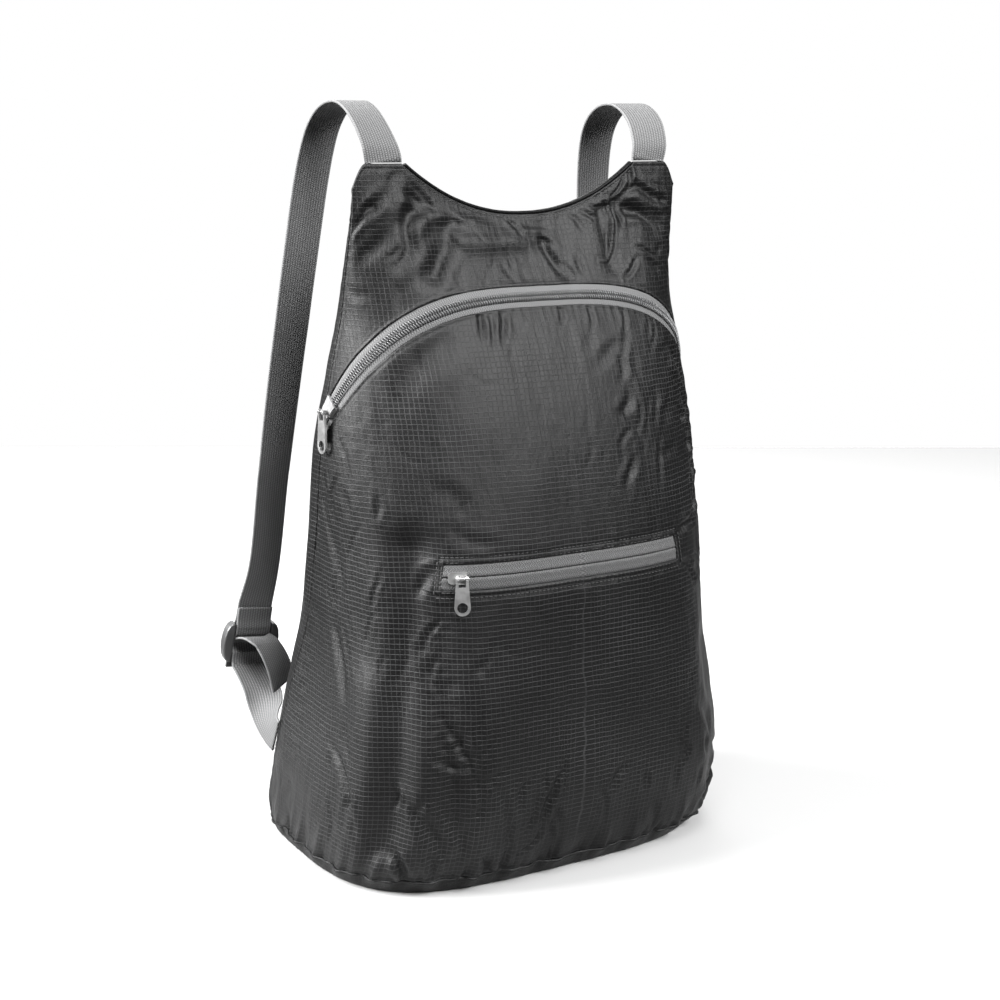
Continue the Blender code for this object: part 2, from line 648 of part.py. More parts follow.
def buckle(side, mirror):
    """Ladder lock: two rounded ears, three bars across the webbing and a thumb lip."""
    finish = buckle_plastic()
    name = "buckle_" + side
    ears = []
    for end in (-1, 1):
        outline = [(end * (EAR_START + across), up) for across, up in EAR_OUTLINE]
        rings = [np.array([(x, out, z) for x, z in outline]) for out in (-BUCKLE_THICK / 2, BUCKLE_THICK / 2)]
        ear = loft(name + "_ear" + str(end), np.stack(rings), finish)
        round_off = ear.modifiers.new("rounding", "BEVEL")
        round_off.width = 0.9 * MM
        round_off.segments = 2
        round_off.angle_limit = math.radians(50)
        ears.append(ear)
    body = ears[0]
    body.name = name
    parts = [ears[1]]
    for index, (up, tall, thick) in enumerate((BAR_TOP, BAR_MIDDLE, BAR_LOW)):
        size = (2 * BAR_HALF, thick, tall)
        parts.append(rounded_box(name + "_bar_" + str(index), size, (0, 0, up), 0.0, finish))
    up, tall, thick, out = LIP
    parts.append(rounded_box(name + "_lip", (2 * BAR_HALF, thick, tall), (0, -out, up), 0.0, finish))
    combine(body, "UNION", *parts)
    flip = np.array((mirror, 1.0, 1.0))
    place([body] + parts, BUCKLE_CENTRE * flip, BUCKLE_ACROSS * mirror * flip, BUCKLE_OUT * flip)
    return body


def slider(name, length, wide_end, narrow_end, floor, thick, channel):
    """Zip slider lying in its own axes: X along the chain, -Y out of the cloth.

    floor is the height of its plate above the cloth, channel the half width left for the chain.
    """
    finish = slider_metal()
    half = length / 2
    outline = ((-half, -narrow_end), (-half + 1.6, -narrow_end - 0.9), (half, -wide_end), (half, wide_end),
               (-half + 1.6, narrow_end + 0.9), (-half, narrow_end))
    rings = [np.array([(x, -lift, z) for x, z in outline]) for lift in (floor, floor + thick)]
    body = loft(name, np.stack(rings), finish)
    parts = []
    if channel:
        for side in (-1, 1):
            size = (length - 3.4, floor + 0.55 * thick, 1.1)
            middle = (0.6, -(floor + 0.55 * thick) / 2, side * (channel + 0.55))
            parts.append(rounded_box(name + "_flange" + str(side), size, middle, 0.0, finish))
    return body, parts, finish


def bail(name, base_height, pin_height, finish):
    """Post and cross pin of a slider, in the pull's axes: X along the pin, the pin at the origin."""
    rise = pin_height - base_height
    post_size = (POST_WIDTH, rise + 0.5, 2.4)
    post = rounded_box(name + "_post", post_size, (0, rise / 2 + 0.25, 0), 0.0, finish)
    pin = cylinder(name + "_pin", PIN_RADIUS, PIN_LENGTH, (0, 0, 0), (1, 0, 0), finish, 12)
    return [post, pin]


def pull(name, length):
    """Pull tab with two eyes round the bail's pin, hanging down from the origin."""
    finish = slider_metal()
    top, end = PULL_TOP_WIDTH / 2, PULL_END_WIDTH / 2
    drop = length - end
    turns = np.linspace(math.pi, 2 * math.pi, 13)
    rounded = [(end * math.cos(turn), -drop + end * math.sin(turn)) for turn in turns]
    outline = [(top, -0.2), (-top, -0.2)] + rounded
    half = PULL_THICK / 2
    rings = [np.array([(x, y, z) for x, z in outline]) for y in (-half, half)]
    body = loft(name, np.stack(rings), finish)
    eyes = [cylinder(name + "_eye" + str(side), EYE_RADIUS, EYE_WIDTH, (side * ARM_MIDDLE, 0, 0),
                     (1, 0, 0), finish) for side in (-1, 1)]
    window_width = 2 * (ARM_MIDDLE - EYE_WIDTH / 2)
    cuts = [rounded_box(name + "_window", (window_width, 6, 7.4), (0, 0, -1.1), 0.0, finish),
            cylinder(name + "_bore", EYE_BORE, 12, (0, 0, 0), (1, 0, 0), finish),
            cylinder(name + "_hole", PULL_HOLE, 6, (0, 0, -drop), (0, 1, 0), finish, 20)]
    combine(body, "UNION", *eyes)
    combine(body, "DIFFERENCE", *cuts)
    return body, eyes + cuts


def skin_frame(x, z):
    """Point of the front skin at x and z, its outward normal and its level direction."""
    height = height_at(np.array([x]), np.array([z]))
    u = u_at([x], height)
    here = skin(u, height)[0]
    level = skin(u + 0.01, height)[0] - skin(u - 0.01, height)[0]
    upwards = skin(u, height + 3)[0] - skin(u, height - 3)[0]
    normal = np.cross(level, upwards)
    normal /= np.linalg.norm(normal)
    level /= np.linalg.norm(level)
    return here, normal, level


def main_slider_and_pull(arch):
    """Slider at the left foot of the main zip; its pull hangs down along the cloth."""
    u, height = arch(0.0)
    left = u < 0.5
    start = np.interp(MAIN_SLIDER_HEIGHT, height[left], u[left])
    around = np.array([start - 0.010, start, start + 0.010])
    line = skin(around, np.interp(around, u, height))
    chain = line[2] - line[0]
    chain /= np.linalg.norm(chain)
    here, normal, level = skin_frame(line[1][0], line[1][2])
    floor = -CHAIN_DEPTH[0] + GAP
    thick = 1.1
    body, parts, finish = slider("main_slider", 10.6, 4.7, 2.9, floor, thick, CHAIN_HALF + 0.45)
    seat_slider(body, parts, here, chain, normal)
    pin_height = floor + thick + GAP + 0.05 + EYE_RADIUS
    seat = here + MAIN_PULL_OFFSET * chain
    hang(body, "main", seat, normal, level, floor + thick, pin_height, finish, MAIN_PULL_LENGTH, lean=6.0)


def pocket_slider_and_pull():
    """Slider at the left end of the pocket zip, with its bail off to the right."""
    middle = (POCKET_LOW + POCKET_HIGH) / 2
    here, normal, level = skin_frame(POCKET_SLIDER_X, middle)
    floor = -TAPE_DEPTH[0] + GAP
    thick = 1.5
    body, parts, finish = slider("pocket_slider", 10.0, 3.4, 2.2, floor, thick, 0.0)
    seat_slider(body, parts, here, level, normal)
    pin_height = floor + thick + GAP + 0.05 + EYE_RADIUS
    seat = here + POCKET_PULL_OFFSET * level
    hang(body, "pocket", seat, normal, level, floor + thick, pin_height, finish, POCKET_PULL_LENGTH,
         lean=2.5)


def seat_slider(body, parts, here, chain, normal):
    """Seat a slider on the zip and join its flanges to it."""
    place([body] + parts, here, chain, normal)
    combine(body, "UNION", *parts)


def hang(body, name, seat, normal, level, base_height, pin_height, finish, length, lean):
    """Give a slider its bail, and hang the pull on the bail's pin with the pin level."""
    axis_place = seat + pin_height * normal
    bail_parts = bail(name + "_bail", base_height, pin_height, finish)
    place(bail_parts, axis_place, level, normal)
    combine(body, "UNION", *bail_parts)
    tab, tools = pull(name + "_pull", length)
    tilt = math.radians(lean)
    down = np.cross(normal, level)
    down = down if down[2] < 0 else -down
    out = normal * math.cos(tilt) + down * math.sin(tilt)
    place([tab] + tools, axis_place, level, out)


def build():
    """Model the whole bag."""
    for old in list(bpy.data.objects):
        bpy.data.objects.remove(old, do_unlink=True)
    arches = {offset: arch_curve(offset) for offset in
              (-TAPE_HALF, TAPE_HALF, -TAPE_HALF + GAP, TAPE_HALF - GAP, -GAP, GAP,
               -CHAIN_HALF, CHAIN_HALF, 0.0)}
    arch = arches.get
    u, first, last = front_columns()
    front_panel(u, first, last, arch)
    front_yoke(u, arch)
    back_panel(arch)
    base_panel(u)
    neck_binding()
    tape_low = np.interp(u, *arch(-TAPE_HALF + GAP))
    tape_high = np.interp(u, *arch(TAPE_HALF - GAP))
    strip("main_zip_tape_lower", u, tape_low, np.interp(u, *arch(-GAP)), TAPE_DEPTH, tape_grey())
    strip("main_zip_tape_upper", u, np.interp(u, *arch(GAP)), tape_high, TAPE_DEPTH, tape_grey())
    chain_low = np.interp(u, *arch(-CHAIN_HALF))
    chain_high = np.interp(u, *arch(CHAIN_HALF))
    strip("main_zip_chain", u, chain_low, chain_high, CHAIN_DEPTH, tape_grey(), rows=2)
    middle = (POCKET_LOW + POCKET_HIGH) / 2
    window = u[first:last + 1].copy()
    window[0] += 0.001
    window[-1] -= 0.001
    level = np.ones_like(window)
    strip("pocket_zip_tape_lower", window, (POCKET_LOW + GAP) * level, (middle - GAP / 2) * level,
          TAPE_DEPTH, tape_grey())
    strip("pocket_zip_tape_upper", window, (middle + GAP / 2) * level, (POCKET_HIGH - GAP) * level,
          TAPE_DEPTH, tape_grey())
    main_slider_and_pull(arch)
    pocket_slider_and_pull()
    straps()
    for side, mirror in (("left", 1), ("right", -1)):
        buckle(side, mirror)


build()
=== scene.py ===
# Packable backpack: the looks of a light ripstop bag that stands on its base.
# Lengths are millimetres up to the point where a mesh is made, which is in metres.
# The bag faces -Y, Z is up, and u runs from 0 at the left side seam to 1 at the right one.

import math

import bpy
import numpy as np
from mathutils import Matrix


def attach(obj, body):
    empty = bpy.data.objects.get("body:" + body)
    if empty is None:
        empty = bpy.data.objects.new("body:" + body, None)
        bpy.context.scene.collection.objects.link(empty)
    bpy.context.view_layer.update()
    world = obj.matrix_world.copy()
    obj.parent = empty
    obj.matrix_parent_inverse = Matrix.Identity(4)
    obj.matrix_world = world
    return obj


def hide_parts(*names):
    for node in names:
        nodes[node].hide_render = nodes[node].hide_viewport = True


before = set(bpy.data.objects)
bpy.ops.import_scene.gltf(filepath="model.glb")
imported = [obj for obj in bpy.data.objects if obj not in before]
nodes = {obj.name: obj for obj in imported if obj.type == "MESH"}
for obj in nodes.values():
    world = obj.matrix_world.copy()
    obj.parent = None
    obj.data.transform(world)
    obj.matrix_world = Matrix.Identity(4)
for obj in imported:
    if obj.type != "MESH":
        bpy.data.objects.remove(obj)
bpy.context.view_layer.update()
mm = 0.001
print("frame loaded")


def smoothStep(low, high, value):
    # 0 below low, 1 above high, and the cubic 3t^2 - 2t^3 between them
    t = np.clip((value - low) / (high - low), 0, 1)
    return t * t * (3 - 2 * t)


def unit(vectors):
    return vectors / np.maximum(np.linalg.norm(vectors, axis=-1, keepdims=True), 1e-9)


def latticeNoise(x, y, seed):
    # value noise: random numbers on a unit lattice, joined by the quintic 6t^5 - 15t^4 + 10t^3; -1 to 1
    table = np.random.default_rng(seed).uniform(-1, 1, (64, 64))
    column, row = np.floor(x).astype(int), np.floor(y).astype(int)
    s, t = x - column, y - row
    s, t = s ** 3 * (s * (6 * s - 15) + 10), t ** 3 * (t * (6 * t - 15) + 10)
    a, b = table[row % 64, column % 64], table[row % 64, (column + 1) % 64]
    c, d = table[(row + 1) % 64, column % 64], table[(row + 1) % 64, (column + 1) % 64]
    return (a * (1 - s) + b * s) * (1 - t) + (c * (1 - s) + d * s) * t


def layeredNoise(x, y, seed, layers=3):
    # lattice noise plus finer copies of itself, each twice as fine and half as strong, slightly turned
    total, strength = np.zeros_like(x), 1.0
    for layer in range(layers):
        total = total + strength * latticeNoise(x, y, seed + layer)
        x, y = 2 * (0.92 * x - 0.39 * y) + 5.3, 2 * (0.39 * x + 0.92 * y) + 1.7
        strength *= 0.5
    return total


def curveThrough(points, count=None, dense=24):
    # Catmull-Rom curve through the rows of points; even samples along its length where count is given
    points = np.asarray(points, float)
    ends = np.vstack([2 * points[0] - points[1], points, 2 * points[-1] - points[-2]])
    t = np.linspace(0, 1, dense, endpoint=False)[None, :, None]
    p0, p1, p2, p3 = [ends[k:len(ends) - 3 + k, None, :] for k in range(4)]
    curve = 0.5 * (2 * p1 + (p2 - p0) * t + (2 * p0 - 5 * p1 + 4 * p2 - p3) * t ** 2
                   + (3 * p1 - p0 - 3 * p2 + p3) * t ** 3)
    curve = np.vstack([curve.reshape(-1, points.shape[1]), points[-1:]])
    if count is None:
        return curve
    sums = lengthsAlong(curve[:, :3] if points.shape[1] > 2 else curve)
    even = np.linspace(0, sums[-1], count)
    return np.stack([np.interp(even, sums, column) for column in curve.T], axis=1)


def lengthsAlong(points):
    # length of the path up to each of its points
    return np.concatenate([[0], np.cumsum(np.linalg.norm(np.diff(points, axis=0), axis=1))])


def circle(count):
    # points of a unit circle, as rows of cosine and sine
    turn = np.linspace(0, 2 * math.pi, count, endpoint=False)
    return np.stack([np.cos(turn), np.sin(turn)], axis=-1)


def uvOf(first, second):
    return np.stack(np.broadcast_arrays(first, second), axis=-1).reshape(-1, 2)


def makeMesh(name, points, faces, material, uv=None, body="bag", stands=()):
    # points in millimetres, faces as one array of quads; uv gives a place in millimetres for each point
    mesh = bpy.data.meshes.new(name)
    faces = np.asarray(faces, np.int32)
    count, corners = faces.shape
    mesh.vertices.add(len(points))
    mesh.vertices.foreach_set("co", (np.asarray(points) * mm).astype(np.float32).ravel())
    mesh.loops.add(count * corners)
    mesh.loops.foreach_set("vertex_index", faces.ravel())
    mesh.polygons.add(count)
    mesh.polygons.foreach_set("loop_start", np.arange(0, count * corners, corners, dtype=np.int32))
    mesh.update(calc_edges=True)
    mesh.validate()
    if uv is not None:
        layer = mesh.uv_layers.new(name="cut")
        layer.data.foreach_set("uv", np.asarray(uv, np.float32)[faces.ravel()].ravel())
    mesh.shade_smooth()
    piece = bpy.data.objects.new(name, mesh)
    bpy.context.scene.collection.objects.link(piece)
    mesh.materials.append(material)
    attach(piece, body)
    if stands:
        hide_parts(*stands)
    return piece


def gridFaces(rows, columns, closed=False, flip=False, keep=None):
    # quads between neighbouring rows and columns; closed joins the last column to the first
    row, column = np.meshgrid(np.arange(rows - 1), np.arange(columns if closed else columns - 1), indexing="ij")
    after = (column + 1) % columns
    quads = np.stack([row * columns + column, row * columns + after,
                      (row + 1) * columns + after, (row + 1) * columns + column], axis=-1)
    quads = quads[keep] if keep is not None else quads.reshape(-1, 4)
    return quads[:, ::-1] if flip else quads


def tubeFaces(rows, columns, half=None, last=None):
    # closed rings joined in a row; both ends are closed by strips of quads between the ring's first half
    # and the points counted back from the last one
    half, last = half or columns // 2, last or columns - 1
    k = np.arange(half - 1)
    cap = np.stack([k, k + 1, last - 1 - k, last - k], axis=1)
    return np.vstack([gridFaces(rows, columns, closed=True), cap[:, ::-1], cap + (rows - 1) * columns])


def sweep(centres, across, outward, profile):
    # profile carried along a path: point = centre + first * across + second * outward, for each ring
    return (centres[:, None, :] + profile[..., 0:1] * across[:, None, :]
            + profile[..., 1:2] * outward[:, None, :])


def pathFrames(centres, across):
    # width direction made square to the path, and the face direction, at each place of it
    tangent = unit(np.gradient(centres, axis=0))
    across = unit(across - np.sum(across * tangent, axis=1, keepdims=True) * tangent)
    return across, np.cross(tangent, across)


bagForm = {
    "columns": ("height", "halfWidth", "widestY", "frontY", "backY", "frontPower", "backPower", "seamWrap"),
    "sections": np.array([
        (0, 123, 68, -45, 117, 3.6, 3.2, 20),
        (12, 127.6, 65, -54, 121, 3.7, 3.1, 20),
        (45, 127, 60, -65, 122, 3.9, 2.9, 22),
        (90, 122, 53, -68, 114, 3.8, 2.7, 13),
        (140, 115.5, 45, -66, 101, 3.4, 2.5, 3),
        (190, 115, 34, -63, 85, 2.9, 2.4, 0),
        (250, 115, 22, -53, 66, 2.3, 2.5, 0),
        (300, 108.7, 17, -37, 47.5, 2.2, 2.7, 0),
        (320, 105.6, 14.7, -28.5, 39.5, 2.2, 2.8, 0),
        (345, 104.2, 11, -17, 29, 2.3, 2.9, 0),
        (385, 103, 4.5, -2.6, 11.5, 2.5, 2.7, 0),
        (398, 103, 3, 1.3, 4.7, 2.5, 2.5, 0),
    ]),
    "seamHeight": 10.0,
    "topHeight": 398.0,
    "neckDip": 28.0,
    "neckHalfWidth": 74.0,
    "neckPower": 2.2,
    "cornerStart": 95.5,
    "cornerWidth": 7.5,
    "cornerDrop": 13.0,
    "dipStart": 240.0,
    "seamGap": 0.45,
    "seamClear": 0.15,          # from the base seam to the cloth above and the tray below
    "frontWidth": 365.0,        # round the front from side seam to side seam, for pitches only
    "columnGap": 0.0011,        # columns of a panel are no closer in u than this, hems apart
    "gatherPitch": 27.0,
    "gatherDepth": 1.3,
    "gatherReach": 26.0,
}

# Large creases, shared with the solids: along and height of both ends, width and depth (+ is a valley)
largeCreases = (
    (-98, 196, -118, 30, 12, 5.5),
    (-132, 118, -136, 40, 13, -2),
    (104, 120, 112, 30, 12, 2),
    (128, 74, 131, 26, 12, -1.2),
    (-98, 352, -62, 384, 5, 2.2),
    (-66, 344, -48, 382, 6, 3),
    (-40, 372, -8, 378, 9, -3),
    (56, 384, 88, 362, 5, 2.4),
    (50, 384, 52, 346, 4.5, 2.2),
    (8, 372, 22, 346, 5, 1.8),
)


def sectionValue(height, column):
    # cubic Hermite curve through one column of the sections, with the slopes of its neighbours
    rows = bagForm["sections"][:, 0]
    values = bagForm["sections"][:, bagForm["columns"].index(column)]
    slopes = np.gradient(values, rows)
    height = np.clip(height, rows[0], rows[-1])
    low = np.clip(np.searchsorted(rows, height, side="right") - 1, 0, len(rows) - 2)
    span = rows[low + 1] - rows[low]
    t = (height - rows[low]) / span
    return ((2 * t ** 3 - 3 * t ** 2 + 1) * values[low] + (t ** 3 - 2 * t ** 2 + t) * span * slopes[low]
            + (3 * t ** 2 - 2 * t ** 3) * values[low + 1] + (t ** 3 - t ** 2) * span * slopes[low + 1])


def neckSag(x):
    # how far the top edge lies below the peaks: a power curve inside, a short fall outside the straps
    inside = np.clip(np.abs(x) / bagForm["neckHalfWidth"], 0, 1)
    outside = np.clip((np.abs(x) - bagForm["cornerStart"]) / bagForm["cornerWidth"], 0, 1)
    return bagForm["neckDip"] * (1 - inside ** bagForm["neckPower"]) + bagForm["cornerDrop"] * outside ** 1.6


def sagShare(height):
    # how much of the neckline's sag a row takes: the square of its place between the start and the top
    start = bagForm["dipStart"]
    return np.clip((height - start) / (bagForm["topHeight"] - start), 0, 1) ** 2


def ringPlace(angle, height, depth):
    # superellipse section: x = a sgn(cos)|cos|^(2/p), y = widest + b sgn(sin)|sin|^(2/p), shrunk by depth
    wide = sectionValue(height, "halfWidth") - depth
    widest = sectionValue(height, "widestY")
    cosine, sine = np.cos(angle), np.sin(angle)
    front = sine < 0
    power = np.where(front, sectionValue(height, "frontPower"), sectionValue(height, "backPower"))
    reach = np.where(front, widest - sectionValue(height, "frontY"),
                     sectionValue(height, "backY") - widest) - depth
    return (wide * np.sign(cosine) * np.abs(cosine) ** (2 / power),
            widest + reach * np.sign(sine) * np.abs(sine) ** (2 / power))


def ringTable(back):
    # angle by height (one row a millimetre) and share of arc length (401 columns), and each ring's length
    height = np.arange(0, 399.0)[:, None]
    reach = sectionValue(height, "backY") - sectionValue(height, "widestY")
    wrap = np.clip(sectionValue(height, "seamWrap") / reach, 0, 0.9)
    turn = np.arcsin(wrap ** (sectionValue(height, "backPower") / 2))
    start, end = math.pi - turn, (turn if back else 2 * math.pi + turn)
    angle = start + (end - start) * np.linspace(0, 1, 161)
    x, y = ringPlace(angle, height, 0.0)
    steps = np.hypot(np.diff(x, axis=1), np.diff(y, axis=1))
    sums = np.concatenate([np.zeros_like(height), np.cumsum(steps, axis=1)], axis=1)
    shares = np.linspace(0, 1, 401)
    even = [np.interp(shares * line[-1], line, row) for line, row in zip(sums, angle)]
    return np.array(even), sums[:, -1]


ringTables = {back: ringTable(back) for back in (False, True)}


def ringLength(height, back=False):
    return np.interp(height, np.arange(399.0), ringTables[back][1])


def ringAngle(u, height, back):
    # bilinear reading of the table
    table = ringTables[back][0]
    row, column = np.clip(height, 0, 398), np.clip(u, 0, 1) * 400
    low, left = np.minimum(row.astype(int), 397), np.minimum(column.astype(int), 399)
    t, s = row - low, column - left
    return ((table[low, left] * (1 - s) + table[low, left + 1] * s) * (1 - t)
            + (table[low + 1, left] * (1 - s) + table[low + 1, left + 1] * s) * t)


def largeCreaseDepth(along, height):
    # each crease is a bell curve across the line between its ends
    depth = np.zeros_like(along)
    for alongA, heightA, alongB, heightB, width, deep in largeCreases:
        run = np.array((alongB - alongA, heightB - heightA))
        share = np.clip(((along - alongA) * run[0] + (height - heightA) * run[1]) / (run @ run), 0, 1)
        away = (along - alongA - share * run[0]) ** 2 + (height - heightA - share * run[1]) ** 2
        depth = depth + deep * np.exp(-away / width ** 2)
    return depth * np.clip((height - 9) / 22, 0, 1)


def gatherDepth(along, height):
    # two sine waves round the base seam that fade out above it and towards the floor
    above = np.clip((height - bagForm["seamHeight"]) / bagForm["gatherReach"], 0, 1)
    turn = 2 * math.pi * along / bagForm["gatherPitch"]
    wave = np.sin(turn) + 0.5 * np.sin(2.3 * turn)
    return bagForm["gatherDepth"] * wave * (1 - above) ** 1.5 * np.clip(height / bagForm["seamHeight"], 0, 1)


def bagSkin(u, height, depth=0.0, back=False):
    # place on the cloth's surface, x y z in millimetres; depth is measured inwards
    u, height, depth = [np.asarray(v, float) for v in np.broadcast_arrays(u, height, depth)]
    total = ringLength(height, back)
    along = (u - 0.5) * total
    hollow = gatherDepth(along, height)
    if not back:
        hollow = hollow + largeCreaseDepth(along, height) * np.clip((397 - height) / 12, 0, 1)
    side = np.clip(np.minimum(u, 1 - u) * total / 14, 0, 1)
    x, y = ringPlace(ringAngle(u, height, back), height, depth + hollow * side)
    seam = sectionValue(height, "widestY") + sectionValue(height, "seamWrap")
    half = bagForm["seamGap"] / 2
    y = np.maximum(y, seam + half) if back else np.minimum(y, seam - half)
    return np.stack([x, y, height - neckSag(x) * sagShare(height)], axis=-1)


def skinNormal(u, height, back=False):
    # outward normal: the cross product of small steps along both parameters
    level = bagSkin(u + 0.004, height, 0, back) - bagSkin(u - 0.004, height, 0, back)
    rising = bagSkin(u, height + 1.2, 0, back) - bagSkin(u, height - 1.2, 0, back)
    normal = unit(np.cross(level, rising))
    return -normal if back else normal


def heightAt(x, z):
    # height on the cloth of a place at z, found by repeating height = z + sag until it settles
    height = np.array(z, float)
    for _ in range(40):
        height = z + neckSag(x) * sagShare(height)
    return height


def uAt(x, height):
    # u of places on the front, read from x along a row of the skin
    shares = np.linspace(0, 1, 801)
    return np.array([np.interp(place, bagSkin(shares, row)[:, 0], shares) for place, row in zip(x, height)])


mainZip = {
    "foot": 255.0,
    "rise": 71.5,
    "halfSpan": 114.0,
    "power": 3.2,
    "endAngle": 1.24,
    "tapeHalf": 6.3,
    "lowerEdge": 5.6,           # the cloth below covers more of its tape
    "coilPitch": 1.5,
    "coilOffset": 1.32,
    "coilHalf": 1.28,
    "coilRise": 0.72,
    "wire": 0.36,
}
pocketZip = {
    "left": -79.3,
    "right": 67.5,
    "low": 177.0,
    "middle": 183.7,
    "high": 190.4,
}


def archLine(offset):
    # the zip's line in u and height, moved sideways in the skin by an offset
    angle = np.linspace(-mainZip["endAngle"], mainZip["endAngle"], 61)
    x = mainZip["halfSpan"] * np.sign(angle) * np.abs(np.sin(angle)) ** (2 / mainZip["power"])
    height = heightAt(x, mainZip["foot"] + mainZip["rise"] * np.cos(angle))
    u = uAt(x, height)
    byU = (bagSkin(u + 0.002, height) - bagSkin(u - 0.002, height)) / 0.004
    byHeight = (bagSkin(u, height + 1) - bagSkin(u, height - 1)) / 2
    tangent = np.gradient(bagSkin(u, height), axis=0)
    side = unit(np.cross(np.cross(byU, byHeight), tangent)) * offset
    moves = np.array([np.linalg.lstsq(np.stack(pair, axis=1), one, rcond=None)[0]
                      for pair, one in zip(zip(byU, byHeight), side)])
    u, height = u + moves[:, 0], height + moves[:, 1]
    keep = (u > 0.001) & (u < 0.999)
    u, height = u[keep], height[keep]
    first = height[0] - u[0] * (height[3] - height[0]) / (u[3] - u[0])
    last = height[-1] + (1 - u[-1]) * (height[-1] - height[-4]) / (u[-1] - u[-4])
    return np.concatenate([[0], u, [1]]), np.concatenate([[first], height, [last]])


def archHeights(u, offset):
    return np.interp(u, *archLine(offset))


def pocketEnds(more=0.0):
    # u of both ends of the pocket's window, each moved outwards by the given millimetres of x
    return uAt((pocketZip["left"] - more, pocketZip["right"] + more), (pocketZip["middle"],) * 2)


